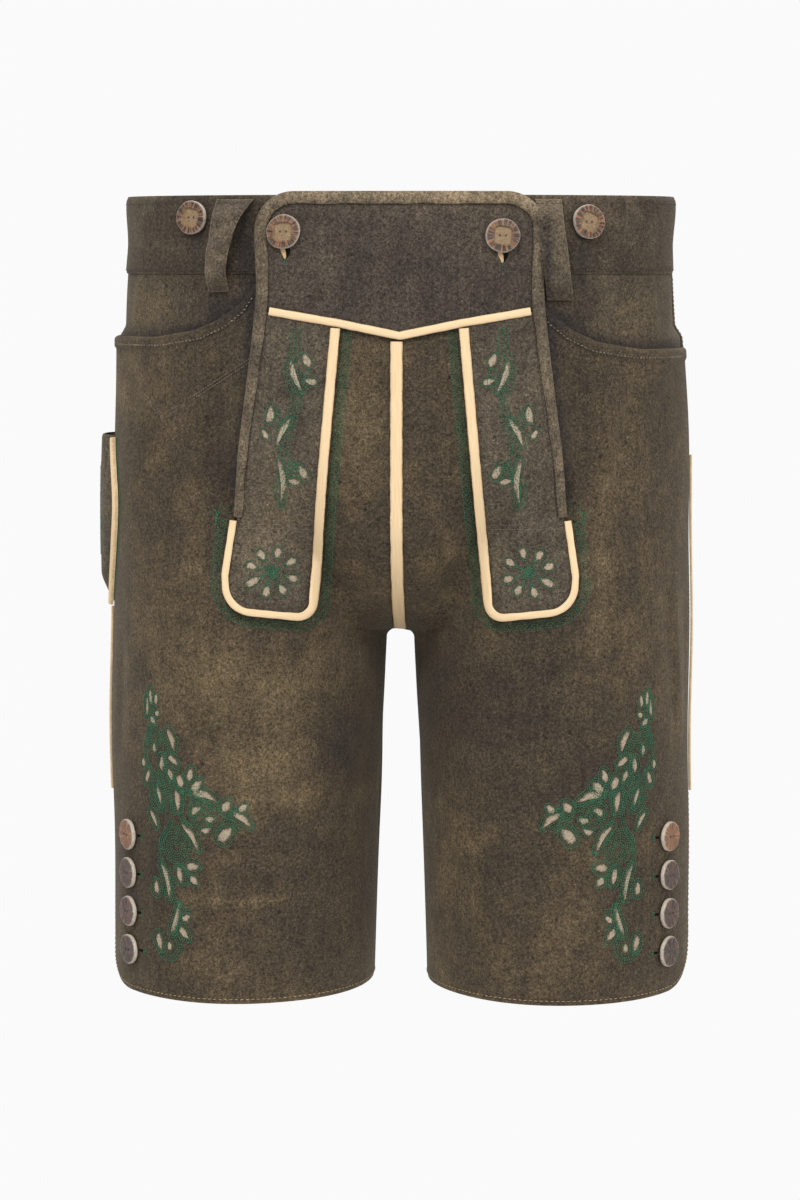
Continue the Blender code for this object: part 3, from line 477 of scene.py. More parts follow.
def nap_group():
    """Brushed leather: clouds of wear, a short nap, dark pinholes and faint streaks along the body."""
    group = bpy.data.node_groups.new("suede nap", "ShaderNodeTree")
    for name, kind in (
        ("Place", "NodeSocketVector"), ("Wear", "NodeSocketFloat"), ("Leather", "NodeSocketColor"),
        ("Rubbed", "NodeSocketColor"), ("Greasy", "NodeSocketColor"),
    ):
        group.interface.new_socket(name, in_out="INPUT", socket_type=kind)
    for name, kind in (
        ("Colour", "NodeSocketColor"), ("Roughness", "NodeSocketFloat"), ("Height", "NodeSocketFloat")
    ):
        group.interface.new_socket(name, in_out="OUTPUT", socket_type=kind)
    given = group.nodes.new("NodeGroupInput").outputs
    place = given["Place"]
    clouds = spread(group, noise(group, place, 12.0, 6.0, 0.66), 0.30, 0.70, -0.50, 0.50)
    patches = spread(group, noise(group, place, 60.0, 5.0, 0.70), 0.30, 0.70, -0.42, 0.42)
    # the given wear also carries painted shade: minus values darken toward the greasy colour
    worn_and_shaded = math_of(group, "ADD", math_of(group, "ADD", clouds, patches), given["Wear"])
    paler = blended(group, spread(group, worn_and_shaded, 0.0, 1.1, 0.0, 1.0), given["Leather"], given["Rubbed"])
    shaded = blended(group, spread(group, worn_and_shaded, 0.0, -1.1, 0.0, 1.0), paler, given["Greasy"])
    nap = noise(group, place, 1000.0, 2.0, 0.7)
    tufts = noise(group, place, 520.0, 4.0, 0.78)
    upright = node(group, "ShaderNodeMapping", {"Vector": place, "Scale": (300.0, 300.0, 14.0)}).outputs[0]
    streaks = noise(group, upright, 1.0, 2.0, 0.5)
    light = math_of(group, "MULTIPLY", spread(group, nap, 0.30, 0.70, 0.45, 1.60),
                    spread(group, tufts, 0.32, 0.68, 0.40, 1.70))
    light = math_of(group, "MULTIPLY", light, spread(group, streaks, 0.25, 0.75, 0.88, 1.12))
    pins = node(group, "ShaderNodeTexVoronoi", {"Vector": place, "Scale": 70.0}).outputs["Distance"]
    light = math_of(group, "MULTIPLY", light, spread(group, pins, 0.04, 0.11, 0.45, 1.0))
    lint = node(group, "ShaderNodeTexVoronoi", {"Vector": place, "Scale": 128.0}).outputs["Distance"]
    light = math_of(group, "MULTIPLY", light, spread(group, lint, 0.02, 0.07, 2.6, 1.0))
    lit = node(group, "ShaderNodeVectorMath", {0: shaded}, operation="SCALE")
    group.links.new(light, lit.inputs["Scale"])
    height = math_of(group, "ADD", math_of(group, "MULTIPLY", nap, 0.5), tufts)
    roughness = spread(group, worn_and_shaded, -1.0, 1.0, 0.80, 0.96)
    sent = group.nodes.new("NodeGroupOutput").inputs
    group.links.new(lit.outputs[0], sent["Colour"])
    group.links.new(roughness, sent["Roughness"])
    group.links.new(height, sent["Height"])
    return group


NAP = nap_group()


def new_material(name):
    made = bpy.data.materials.new(name)
    made.use_nodes = True
    return made, made.node_tree, made.node_tree.nodes["Principled BSDF"]


def roughened(tree, shader, height, strength, distance):
    """Let a height signal bend the shader's normals."""
    bump = node(tree, "ShaderNodeBump", {"Height": height, "Strength": strength, "Distance": distance})
    tree.links.new(bump.outputs["Normal"], shader.inputs["Normal"])


def suede(name, leather, rubbed=(0.150, 0.110, 0.064), greasy=(0.026, 0.021, 0.018)):
    """A suede of its own brown, over the shared nap."""
    made, tree, shader = new_material(name)
    place = tree.nodes.new("ShaderNodeTexCoord").outputs["Object"]
    wear = node(tree, "ShaderNodeAttribute", attribute_name="wear").outputs["Fac"]
    nap = node(tree, "ShaderNodeGroup", node_tree=NAP)
    tree.links.new(place, nap.inputs["Place"])
    tree.links.new(wear, nap.inputs["Wear"])
    nap.inputs["Leather"].default_value = (*leather, 1.0)
    nap.inputs["Rubbed"].default_value = (*rubbed, 1.0)
    nap.inputs["Greasy"].default_value = (*greasy, 1.0)
    tree.links.new(nap.outputs["Colour"], shader.inputs["Base Color"])
    tree.links.new(nap.outputs["Roughness"], shader.inputs["Roughness"])
    roughened(tree, shader, nap.outputs["Height"], 0.8, 0.0007)
    shader.inputs["Specular IOR Level"].default_value = 0.15
    shader.inputs["Sheen Weight"].default_value = 0.12
    shader.inputs["Sheen Roughness"].default_value = 0.45
    shader.inputs["Sheen Tint"].default_value = (0.85, 0.72, 0.55, 1.0)
    return made


def quads_of(grid):
    """The faces of a grid of point numbers."""
    return np.stack([grid[:-1, :-1], grid[:-1, 1:], grid[1:, 1:], grid[1:, :-1]], -1).reshape(-1, 4)


def grid_quads(rows, columns):
    return quads_of(np.arange((rows + 1) * (columns + 1)).reshape(rows + 1, columns + 1))


def put_mesh(name, points, faces, finish):
    """A mesh whose closed shape faces out, smooth apart from its folds."""
    points, faces = np.asarray(points, float).reshape(-1, 3), np.asarray(faces)
    corner = points[faces[:, :4]]
    turned = np.cross(corner[:, 1] - corner[:, 0], corner[:, 2] - corner[:, 0])
    volume = np.einsum("ij,ij->", corner[:, 0], turned)
    turned = np.cross(corner[:, 2] - corner[:, 0], corner[:, 3] - corner[:, 0])
    volume += np.einsum("ij,ij->", corner[:, 0], turned)
    if volume < 0:
        faces = faces[:, ::-1]
    mesh = bpy.data.meshes.new(name)
    mesh.from_pydata(points.tolist(), [], faces.tolist())
    mesh.shade_smooth()
    mesh.set_sharp_from_angle(angle=math.radians(55))
    mesh.materials.append(finish)
    thing = bpy.data.objects.new(name, mesh)
    scene.collection.objects.link(thing)
    return thing


def wear_and_shade_at(points, edge):
    """How much each point is rubbed pale, greasy or darkened by painted shade, from the tables and from how
    near it lies to an edge.
    """
    worn_and_shaded = np.array(edge, float)
    for table, front in ((FRONT_WEAR_AND_SHADE, True), (BACK_WEAR, False)):
        facing = smooth((-points[:, 1] if front else points[:, 1]) / 0.03)
        for spot in table:
            away = ((points[:, 0] - spot.across) / spot.half_across) ** 2
            away += ((points[:, 2] - spot.height) / spot.half_height) ** 2
            worn_and_shaded += spot.strength * facing * np.exp(-away)
    return worn_and_shaded


def marked(thing, name, values):
    """Give every point of a piece a number, or three, for its material to read."""
    values = np.asarray(values, np.float32)
    kind, field = ("FLOAT", "value") if values.ndim == 1 else ("FLOAT_VECTOR", "vector")
    thing.data.attributes.new(name, kind, "POINT").data.foreach_set(field, values.reshape(-1))


def leather_piece(name, inner, outer, quads, finish, skived=0.35, edge_wear=0.35, soil=None):
    """A wall of leather between two faces. Its cut or turned edges are thinned and a little worn.

    The last argument, where given, takes the points and returns painted shade to add to their wear; minus
    darkens.
    """
    inner, outer = inner.reshape(-1, 3), outer.reshape(-1, 3).copy()
    used, quads = np.unique(quads, return_inverse=True)
    quads = quads.reshape(-1, 4)
    inner, outer = inner[used], outer[used]
    edges = np.concatenate([quads[:, [k, (k + 1) % 4]] for k in range(4)])
    _, index, count = np.unique(np.sort(edges, axis=1), axis=0, return_inverse=True, return_counts=True)
    edges = edges[count[index.reshape(-1)] == 1]
    rim = np.unique(edges)
    outer[rim] += (inner[rim] - outer[rim]) * skived
    total = len(outer)
    points = np.concatenate([outer, inner])
    sides = np.column_stack([edges[:, 1], edges[:, 0], edges[:, 0] + total, edges[:, 1] + total])
    faces = np.concatenate([quads, quads[:, ::-1] + total, sides])
    thing = put_mesh(name, points, faces, finish)
    edge = np.zeros(2 * total)
    edge[rim] = edge_wear
    # painted shade from the last argument is added to the edge wear
    if soil is not None:
        edge += soil(points)
    marked(thing, "wear", wear_and_shade_at(points, edge))
    return thing


CROTCH_STEPS = CROTCH - CROTCH_FLOOR * np.array((0.05, 0.18, 0.4, 0.7, 1.0))


def arch_levels(arch, rows):
    """Heights that close up toward the crotch, from the top of its arch to the leg's first level."""
    rising = CROTCH + arch * (1 - np.sin(np.pi / 2 * np.arange(1, rows + 1) / rows))
    return np.append(rising, CROTCH_STEPS)


def front_panel(word, side, finish):
    inner_columns, outer_columns, top_rows, arch_rows, leg_rows = 40, 56, 52, 24, 76
    top_share = np.linspace(0, 1, top_rows + 1)[:, None] ** 1.4
    leg_share = np.linspace(0, 1, leg_rows + 1)[1:, None]
    levels = arch_levels(FRONT_ARCH, arch_rows)

    def turns(share, height, on_flap):
        across = flap_half(np.maximum(height, FLAP_SEWN)) - SLIT_INSET + side * FLAP_SHIFT
        slit = turn_at(side, across, height)
        turn = slit * share if on_flap else slit + (1 - slit) * share
        return np.clip(turn, 0.001, 0.999)

    blocks = []
    for on_flap, count in ((True, inner_columns), (False, outer_columns)):
        share = np.linspace(0, 1, count + 1)[None, :]
        spaced = turns(share, np.array(COLUMNS_SPACED_AT), on_flap)
        across = surface(side, spaced, COLUMNS_SPACED_AT, creased=False)[..., 0] * side
        top = yoke_foot(across - side * FLAP_SHIFT) - SEAM_GAP if on_flap else pocket_edge(side, across)
        at_hem = turns(share, np.array(HEM), on_flap)
        foot = hem_height(hem_forward(side, at_hem), HEM_DIP * np.sin(np.pi * at_hem))
        height = np.concatenate([
            top * (1 - top_share) + FLAP_SEWN * top_share,
            np.repeat(levels[:, None], count + 1, axis=1),
            levels[-1] * (1 - leg_share) + foot * leg_share,
        ])
        turn = turns(np.broadcast_to(share, height.shape), height, on_flap)
        at_slit = count if on_flap else 0
        turn[:top_rows, at_slit] += (-1 if on_flap else 1) * SLIT_OPEN
        folded = POCKET_FOLD * smooth((height - top + POCKET_HEM) / 0.002) * smooth((top - height) / 0.0018)
        extra = flap_raise(height) if on_flap else folded
        blocks.append([surface(side, turn, height, lift + extra) for lift in LEG])
    rows = len(height) - 1
    first = np.arange((rows + 1) * (inner_columns + 1)).reshape(rows + 1, -1)
    second = first.size + np.arange((rows + 1) * (outer_columns + 1)).reshape(rows + 1, -1)
    second[top_rows:, 0] = first[top_rows:, -1]
    quads = np.concatenate([quads_of(first), quads_of(second)])
    inner, outer = (np.concatenate([b[k].reshape(-1, 3) for b in blocks]) for k in (0, 1))

    def shade_beside_flap(points):
        """Painted shadow on the leg just outside the flap's edge."""
        off = points[:, 0] * side - side * FLAP_SHIFT - flap_half(points[:, 2])
        return -0.9 * np.exp(-(((off - 0.001) / 0.004) ** 2)) * smooth((points[:, 2] - FLAP_SEWN) / 0.02)

    return leather_piece(f"front_{word}_leather", inner, outer, quads, finish, soil=shade_beside_flap)


def on_root(thing, slot, *nodes):
    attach(thing, "root")
    if nodes:
        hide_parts(*nodes)


LEG_BROWN = suede("leg suede", (0.055, 0.0410, 0.0258), rubbed=(0.124, 0.090, 0.050))
fronts = {word: front_panel(word, side, LEG_BROWN) for word, side in SIDES.items()}
for word, front in fronts.items():
    on_root(front, "brown_suede", f"front_{word}")


# ---- Backs with their legs
# One plain piece of the same suede a half, from the waistband's foot to the hem, joined to the front at
# the side and inside leg and to its fellow at the centre back.
BACK_AT_WAIST, TUCKED, TUCKED_IN, BACK_EASE = Layer(0.0012, 0.0030), 0.006, 0.0005, 0.08
for word, side in SIDES.items():
    columns, top_rows, arch_rows, leg_rows = 90, 36, 30, 66
    start = BAND_FOOT + TUCKED
    turn = 1 + np.clip(np.linspace(0, 1, columns + 1), 0.001, 0.999)[None, :]
    top = np.linspace(start, CROTCH + BACK_ARCH, top_rows + 1)
    levels = np.append(top, arch_levels(BACK_ARCH, arch_rows))
    leg_share = np.linspace(0, 1, leg_rows + 1)[1:, None]
    foot = hem_height(hem_forward(side, turn))
    height = np.concatenate([
        np.repeat(levels[:, None], columns + 1, axis=1),
        levels[-1] * (1 - leg_share) + foot * leg_share,
    ])
    eased = smooth((BAND_FOOT - height) / BACK_EASE)
    inner, outer = (
        surface(side, turn, height, waist + (leg - waist) * eased - TUCKED_IN * (height > BAND_FOOT))
        for waist, leg in zip(BACK_AT_WAIST, LEG)
    )
    quads = grid_quads(len(height) - 1, columns)
    back = leather_piece(f"back_{word}_leather", inner, outer, quads, LEG_BROWN)
    on_root(back, "brown_suede", f"back_{word}")


# ---- Hip pieces
# A darker, smoother suede that backs the pocket and runs on behind the flap to the centre front.
HIP, HIP_FOOT, HIP_FOOT_RISE = Layer(0.0, 0.0017), -0.140, 0.035
HIP_BROWN = suede("hip suede", (0.061, 0.0470, 0.0310), rubbed=(0.124, 0.092, 0.053))
for word, side in SIDES.items():
    columns, rows = 84, 60
    turn = np.clip(np.linspace(0, 1, columns + 1), 0.001, 0.999)[None, :]
    share = np.linspace(0, 1, rows + 1)[:, None]
    height = (BAND_FOOT + TUCKED) * (1 - share) + (HIP_FOOT + HIP_FOOT_RISE * turn) * share
    faces = [surface(side, turn, height, lift) for lift in HIP]

    def above_pocket(points, side=side):
        """Painted shadow on the hip along the pocket's mouth, just above the front's edge."""
        off = points[:, 2] - pocket_edge(side, points[:, 0] * side)
        return -1.1 * np.exp(-(((off - 0.001) / 0.0045) ** 2)) * (points[:, 1] < 0)

    hip = leather_piece(
        f"hip_{word}_leather", *faces, grid_quads(rows, columns), HIP_BROWN, soil=above_pocket)
    on_root(hip, "brown_suede", f"hip_{word}")


# ---- Waistband
# Two strips 48 mm deep, doubled over at the top, meeting behind the flap and at the centre back.
WAISTBAND = Layer(0.0008, 0.0032)
BAND_BROWN = suede("waistband suede", (0.047, 0.0360, 0.0250), rubbed=(0.105, 0.080, 0.054))
for word, side in SIDES.items():
    columns, rows = 190, 18
    turn = np.clip(np.linspace(0, 2, columns + 1), 0.001, 1.999)[None, :]
    share = np.linspace(0, 1, rows + 1)[:, None]
    height = BAND_TOP + (BAND_FOOT - BAND_TOP) * share
    fold = 0.0007 * (1 - quarter_arc(share / 0.06))
    inner = surface(side, turn, height, WAISTBAND.inner + fold)
    outer = surface(side, turn, height, WAISTBAND.outer - fold)
    band = leather_piece(f"waistband_{word}_leather", inner, outer, grid_quads(rows, columns), BAND_BROWN)
    on_root(band, "brown_suede", f"waistband_{word}")


# ---- Slit underlaps
# A strip of suede inside each side slit; the hem buttons are sewn through the front onto it.
UNDERLAP = Layer(-0.0006, 0.0011)
for word, side in SIDES.items():
    columns, rows, ahead, behind = 20, 40, 0.036, 0.012
    forward = ahead - (ahead + behind) * np.linspace(0, 1, columns + 1)[None, :]
    share = np.linspace(0, 1, rows + 1)[:, None]
    height = (SLIT_TOP + 0.006) * (1 - share) + (hem_height(abs(forward)) + 0.003) * share
    faces = [on_side(side, forward, height, lift) for lift in UNDERLAP]
    lap = leather_piece(f"slit_underlap_{word}_leather", *faces, grid_quads(rows, columns), HIP_BROWN)
    on_root(lap, "brown_suede", f"slit_underlap_{word}")


# ---- Flap yoke
# The flap's top panel, two layers sewn back to back, cut to a shallow point at its foot.
YOKE, BAND_SEWN = Layer(0.0044, 0.0070), Layer(0.0057, 0.0073)
FLAP_TOP, FLAP_CORNER, BINDING_WALL, PIPING_CLEAR = 0.0262, 0.024, 0.0012, 0.0003


def resampled(points, count):
    """`count` + 1 points at equal steps along a line of points."""
    points = np.array(points, float)
    run = np.concatenate([[0], np.cumsum(np.linalg.norm(np.diff(points, axis=0), axis=1))])
    steps = np.linspace(0, run[-1], count + 1)
    return np.stack([np.interp(steps, run, points[:, k]) for k in range(points.shape[1])], axis=1)


def rounded(corners, steps=14):
    """A line through (x, z, radius) corners with each corner turned by an arc of that radius."""
    line = []
    for index, (x, z, radius) in enumerate(corners):
        here = np.array((x, z))
        if radius == 0:
            line.append(here)
            continue
        before = np.array(corners[index - 1][:2]) - here
        after = np.array(corners[index + 1][:2]) - here
        before /= np.linalg.norm(before)
        after /= np.linalg.norm(after)
        half = math.acos(float(np.clip(before @ after, -1, 1))) / 2
        start = here + before * radius / math.tan(half)
        end = here + after * radius / math.tan(half)
        centre = here + (before + after) / np.linalg.norm(before + after) * radius / math.sin(half)
        for step in range(steps + 1):
            turned = start * (1 - step / steps) + end * step / steps - centre
            line.append(centre + turned / np.linalg.norm(turned) * radius)
    return line


def between_edges(top, bottom, first, last, columns, rows):
    """The points of a panel bounded by its top and bottom and its two sides."""
    top, bottom = resampled(top, columns), resampled(bottom, columns)
    first, last = resampled(first, rows), resampled(last, rows)
    u = np.linspace(0, 1, columns + 1)[None, :, None]
    v = np.linspace(0, 1, rows + 1)[:, None, None]
    corners = (1 - u) * (1 - v) * top[0] + u * (1 - v) * top[-1]
    corners = corners + (1 - u) * v * bottom[0] + u * v * bottom[-1]
    return (1 - v) * top[None] + v * bottom[None] + (1 - u) * first[:, None] + u * last[:, None] - corners


def flap_face(height):
    """Lift of the decorated face of the flap."""
    return BAND_SEWN.outer + (YOKE.outer - BAND_SEWN.outer) * smooth((height - FLAP_SEWN) / 0.1)


inset = BINDING_WALL + PIPING_CLEAR
half = float(flap_half(0.0)) - inset
foot_side = float(flap_half(YOKE_SIDE_FOOT)) - inset
corner_foot = FLAP_TOP - inset - FLAP_CORNER
top = rounded([
    (-half, corner_foot, 0.0), (-half, FLAP_TOP - inset, FLAP_CORNER * 0.98),
    (half, FLAP_TOP - inset, FLAP_CORNER * 0.98), (half, corner_foot, 0.0),
])
bottom = [(x, float(yoke_foot(x)) + SEAM_GAP) for x in np.linspace(-foot_side, foot_side, 81)]
edge = [(float(flap_half(z)) - inset, z) for z in np.linspace(corner_foot, bottom[0][1], 17)]
columns, rows = 96, 44
points = between_edges(top, bottom, [(-x, z) for x, z in edge], edge, columns, rows)
faces = [on_face(points[..., 0] + FLAP_SHIFT, points[..., 1], lift) for lift in YOKE]
YOKE_BROWN = suede("yoke suede", (0.056, 0.044, 0.034), rubbed=(0.098, 0.075, 0.052))
yoke = leather_piece("flap_yoke_leather", *faces, grid_quads(rows, columns), YOKE_BROWN, skived=0.2)
on_root(yoke, "brown_suede", "flap_yoke")


# ---- Flap side bands
# Two tapering bands, one down each side of the flap, that end in a rounded patch on the leg.
BAND_INNER_TOP = 0.0385
PATCH_OUTLINE = [(0.0545, -0.2345, 0.009), (0.1060, -0.2285, 0.017), (0.1072, -0.2078, 0.0)]


def patch_line():
    """The band's inner edge, round end and outer edge up to the sewn end."""
    start = (BAND_INNER_TOP, float(yoke_foot(BAND_INNER_TOP)), 0.0)
    return rounded([start, *PATCH_OUTLINE, (float(flap_half(FLAP_SEWN)), FLAP_SEWN, 0.0)])


def on_flap(side):
    """Places (distance from the flap's middle, height, lift) on the front."""
    return lambda across, height, lift: on_face(side * np.asarray(across) + FLAP_SHIFT, height, lift)


BAND_SUEDE = suede("side band suede", (0.076, 0.061, 0.043), rubbed=(0.135, 0.103, 0.067))
bands = {}
for word, side in SIDES.items():
    columns, rows, arc = 44, 104, 15
    inset = BINDING_WALL + 3 * PIPING_CLEAR
    line = patch_line()
    bottom = line[1:1 + 2 * arc]
    top_x = float(flap_half(YOKE_SIDE_FOOT)) - inset
    heights = np.linspace(float(yoke_foot(top_x)) - SEAM_GAP, bottom[-1][1], 31)
    outer = [(min(float(flap_half(z)) - inset, bottom[-1][0]), z) for z in heights]
    outer[-1] = tuple(bottom[-1])
    inner = [(line[0][0], line[0][1] - SEAM_GAP), line[1]]
    top = [(x, float(yoke_foot(x)) - SEAM_GAP) for x in np.linspace(line[0][0], outer[0][0], 12)]
    points = between_edges(top, bottom, inner, outer, columns, rows)
    across, height = points[..., 0], points[..., 1]
    face = flap_face(height)
    thickness = BAND_SEWN.outer - BAND_SEWN.inner
    faces = [on_flap(side)(across, height, lift) for lift in (face - thickness, face)]
    bands[word] = leather_piece(f"flap_band_{word}_leather", *faces, grid_quads(rows, columns), BAND_SUEDE)
    on_root(bands[word], "brown_suede", f"flap_band_{word}")


# ---- Flap binding
# A strip of suede folded over the flap's free edge, from one sewn end up, over the top and down. Its
# nap is rubbed pale, most of all along the top.
BINDING_TOP_WIDTH, BINDING_FOOT_WIDTH, BINDING_CLEAR = 0.0077, 0.0055, 0.0006


def tube_faces(rings):
    """The faces between rings of point numbers, with the first and last ring closed."""
    following = np.roll(rings, -1, axis=1)
    faces = np.stack([rings[:-1], following[:-1], following[1:], rings[1:]], -1).reshape(-1, 4).tolist()
    around = rings.shape[1]
    for ring, turned in ((rings[-1].tolist(), True), (rings[0].tolist(), False)):
        for k in range(around // 2 - 1):
            cap = [ring[k], ring[k + 1], ring[around - 2 - k], ring[around - 1 - k]]
            faces.append(cap if turned else cap[::-1])
    return faces


def sideways(line):
    """Unit steps square to a line of points, toward its right."""
    ahead = np.gradient(line, axis=0)
    return np.stack([ahead[:, 1], -ahead[:, 0]], axis=1) / np.linalg.norm(ahead, axis=1)[:, None]


def swept(name, path, place, ring_at, finish):
    """A closed strip along a path in flat (across, height) coordinates.

    ring_at(heights, steps) gives (aside, lift) pairs, each an array along the path. The strip gets a
    `strip` attribute: where a point lies across it, from 0 to 1, and how far along it in metres.
    """
    path = np.array(path, float)
    aside = sideways(path)
    run = np.concatenate([[0], np.cumsum(np.linalg.norm(np.diff(path, axis=0), axis=1))])
    ring = ring_at(path[:, 1], run)
    points, marks = [], []
    offsets = np.array([np.broadcast_to(offset, run.shape) for offset, _ in ring])
    wide = offsets.max() - offsets.min()
    for offset, lift in ring:
        flat = path + aside * np.broadcast_to(offset, run.shape)[:, None]
        points.append(place(flat[:, 0], flat[:, 1], lift))
        share = (np.broadcast_to(offset, run.shape) - offsets.min()) / wide
        marks.append(np.stack([share, run, np.zeros(len(run))], axis=1))
    points, marks = np.stack(points, axis=1), np.stack(marks, axis=1)
    rings = np.arange(len(path) * len(ring)).reshape(len(path), len(ring))
    thing = put_mesh(name, points.reshape(-1, 3), tube_faces(rings), finish)
    marked(thing, "strip", marks.reshape(-1, 3))
    return thing


side_heights = np.linspace(FLAP_SEWN + 0.001, FLAP_TOP - FLAP_CORNER, 30)
up = [(-float(flap_half(z)), z) for z in side_heights]
half = float(flap_half(0.0))
over = rounded([
    (-half, FLAP_TOP - FLAP_CORNER, 0.0), (-half, FLAP_TOP, FLAP_CORNER),
    (half, FLAP_TOP, FLAP_CORNER), (half, FLAP_TOP - FLAP_CORNER, 0.0),
])
binding_line = resampled(up + over[2:-2] + [(-x, z) for x, z in up[::-1]], 300)


def binding_ring(height, run):
    widened = smooth((height - FLAP_SEWN) / 0.15)
    width = BINDING_FOOT_WIDTH + (BINDING_TOP_WIDTH - BINDING_FOOT_WIDTH) * widened
    width = width + 0.0003 * np.sin(run * 210) * np.sin(run * 47)
    face = flap_face(height) + BINDING_CLEAR
    low = face - BINDING_CLEAR - (BAND_SEWN.outer - BAND_SEWN.inner)
    wall, plump = BINDING_WALL, 0.0003 * np.sin(run * 330 + 1.7) * np.sin(run * 90)
    return [
        (width, face), (width, face + wall * 0.35), (width - 0.0006, face + wall * 0.85),
        (width * 0.60, face + wall * 1.70 + plump), (width * 0.28, face + wall * 1.55 + plump),
        (0.0003, face + wall * 0.7), (0.0, face - 0.0002), (0.0001, low + 0.0003),
        (wall * 0.5, low), (wall, low + 0.0002), (wall, face - 0.0006), (wall + 0.0002, face),
    ]


BINDING_BROWN = suede("binding suede", (0.118, 0.092, 0.062), rubbed=(0.27, 0.20, 0.125))
binding = swept("flap_binding_leather", binding_line, on_flap(1), binding_ring, BINDING_BROWN)
heights = np.array([v.co.z for v in binding.data.vertices])
marked(binding, "wear", 0.5 * smooth((heights - 0.005) / 0.02) - 0.15)
on_root(binding, "brown_suede", "flap_binding")


# ---- Cream leather trims
# Smooth pale cowhide, cut in strips: a piping over the yoke's seam and round each band, a wider strip
# over the centre front seam, and a piping down each side seam and along the knife pocket.
def cream_leather():
    made, tree, shader = new_material("cream leather")
    strip = node(tree, "ShaderNodeAttribute", attribute_name="strip").outputs["Vector"]
    place = tree.nodes.new("ShaderNodeTexCoord").outputs["Object"]
    split = node(tree, "ShaderNodeSeparateXYZ", {"Vector": strip}).outputs
    lengthwise = node(tree, "ShaderNodeMapping", {"Vector": strip, "Scale": (16.0, 60.0, 1.0)}).outputs[0]
    fibres = noise(tree, lengthwise, 1.0, 3.0, 0.6)
    colour = blended(tree, spread(tree, fibres, 0.35, 0.70, 0.0, 0.75),
                     (0.74, 0.56, 0.345, 1.0), (0.60, 0.41, 0.215, 1.0))
    # toward both edges the colour goes brown: partly painted shade where the strip rounds over, partly a
    # brownish cut edge
    off_middle = math_of(tree, "ABSOLUTE", math_of(tree, "SUBTRACT", split["X"], 0.5), 0.0)
    ragged = math_of(tree, "ADD", off_middle, spread(tree, noise(tree, place, 900.0), 0.3, 0.7, -0.05, 0.05))
    edge = spread(tree, ragged, 0.38, 0.49, 0.0, 0.85)
    colour = blended(tree, edge, colour, (0.40, 0.26, 0.13, 1.0))
    # the centre strip darkens toward its foot by the crotch
    height = node(tree, "ShaderNodeSeparateXYZ", {"Vector": place}).outputs["Z"]
    low = spread(tree, height, -0.205, -0.250, 0.0, 0.45)
    darkens_toward_crotch = node(tree, "ShaderNodeAttribute", attribute_name="soiled").outputs["Fac"]
    soiled = math_of(tree, "MULTIPLY", low, darkens_toward_crotch)
    colour = blended(tree, soiled, colour, (0.34, 0.22, 0.10, 1.0))
    tree.links.new(colour, shader.inputs["Base Color"])
    tree.links.new(spread(tree, fibres, 0.3, 0.7, 0.50, 0.72), shader.inputs["Roughness"])
    height = math_of(tree, "ADD", fibres, noise(tree, place, 1400.0))
    roughened(tree, shader, height, 0.35, 0.0002)
    shader.inputs["Specular IOR Level"].default_value = 0.35
    return made


CREAM = cream_leather()
PIPING_HEIGHT, SIDE_PIPING_HEIGHT, KNIFE_PIPING_HEIGHT = 0.0012, 0.0014, 0.0028
YOKE_PIPING_WIDTH, CENTRE_STRIP_WIDTH, SIDE_PIPING_WIDTH, STRIP_CLEAR = 0.005, 0.0075, 0.004, 0.0006


def crowned(width, low, height=PIPING_HEIGHT):
    """A strip's ring: flat below, with rounded edges and a low crown."""
    def ring_at(heights, run):
        half = (width(run) if callable(width) else width) / 2
        half = half * (1 + 0.05 * np.sin(run * 410 + 0.8) * np.sin(run * 137))
        base = low(heights) if callable(low) else low
        return [
            (half, base), (half, base + height * 0.45), (half * 0.80, base + height * 0.90),
            (half * 0.35, base + height * 1.15), (-half * 0.35, base + height * 1.15),
            (-half * 0.80, base + height * 0.90), (-half, base + height * 0.45), (-half, base),
            (-half * 0.4, base), (half * 0.4, base),
        ]
    return ring_at


reach = float(flap_half(YOKE_SIDE_FOOT)) - BINDING_TOP_WIDTH - 0.0012
path = [(x, float(yoke_foot(x))) for x in np.linspace(-reach, reach, 111)]
ring_at = crowned(YOKE_PIPING_WIDTH, YOKE.outer + PIPING_CLEAR)
trim = swept("yoke_piping_leather", path, on_flap(1), ring_at, CREAM)
on_root(trim, "cream_leather", "yoke_piping")

BAND_PIPING_CLEAR = 0.0020


def band_piping_path():
    line = patch_line()
    start = line[0] - np.array((-0.0004, 0.0032))
    end = line[-1] - np.array((0.0, 0.0014))
    return resampled([start, *line[1:-1], end], 190)


def band_piping_width(run):
    return 0.0060 - 0.0017 * smooth((run - 0.150) / 0.050)


for word, side in SIDES.items():
    ring_at = crowned(band_piping_width, lambda heights: flap_face(heights) + BAND_PIPING_CLEAR)
    trim = swept(f"band_piping_{word}_leather", band_piping_path(), on_flap(side), ring_at, CREAM)
    on_root(trim, "cream_leather", f"band_piping_{word}")

start, end = YOKE_FOOT[0].height - 0.0035, CROTCH + 0.004
path = [(0.0006, start + (end - start) * math.sin(math.pi / 2 * k / 110)) for k in range(111)]
ring_at = crowned(CENTRE_STRIP_WIDTH, lambda heights: LEG.outer + flap_raise(heights) + STRIP_CLEAR)
centre = swept("centre_strip_leather", path, on_face, ring_at, CREAM)
# the centre strip darkens toward its foot by the crotch
marked(centre, "soiled", np.ones(len(centre.data.vertices)))
on_root(centre, "cream_leather", "centre_strip")


def on_leg_side(side):
    """Places one side's (forward, height, lift) points, forward being in front of its side seam."""
    return lambda forward, height, lift: on_side(side, forward, height, lift)


KNIFE_FOOT = -0.2330
SIDE_PIPING_TOP = {"right": KNIFE_FOOT - 0.0035, "left": -0.1390}
for word, side in SIDES.items():
    path = [(0.0, z) for z in np.linspace(SIDE_PIPING_TOP[word], SLIT_TOP, 111)]
    ring_at = crowned(SIDE_PIPING_WIDTH, LEG.outer + STRIP_CLEAR, SIDE_PIPING_HEIGHT)
    trim = swept(f"side_piping_{word}_leather", path, on_leg_side(side), ring_at, CREAM)
    on_root(trim, "cream_leather", f"side_piping_{word}")


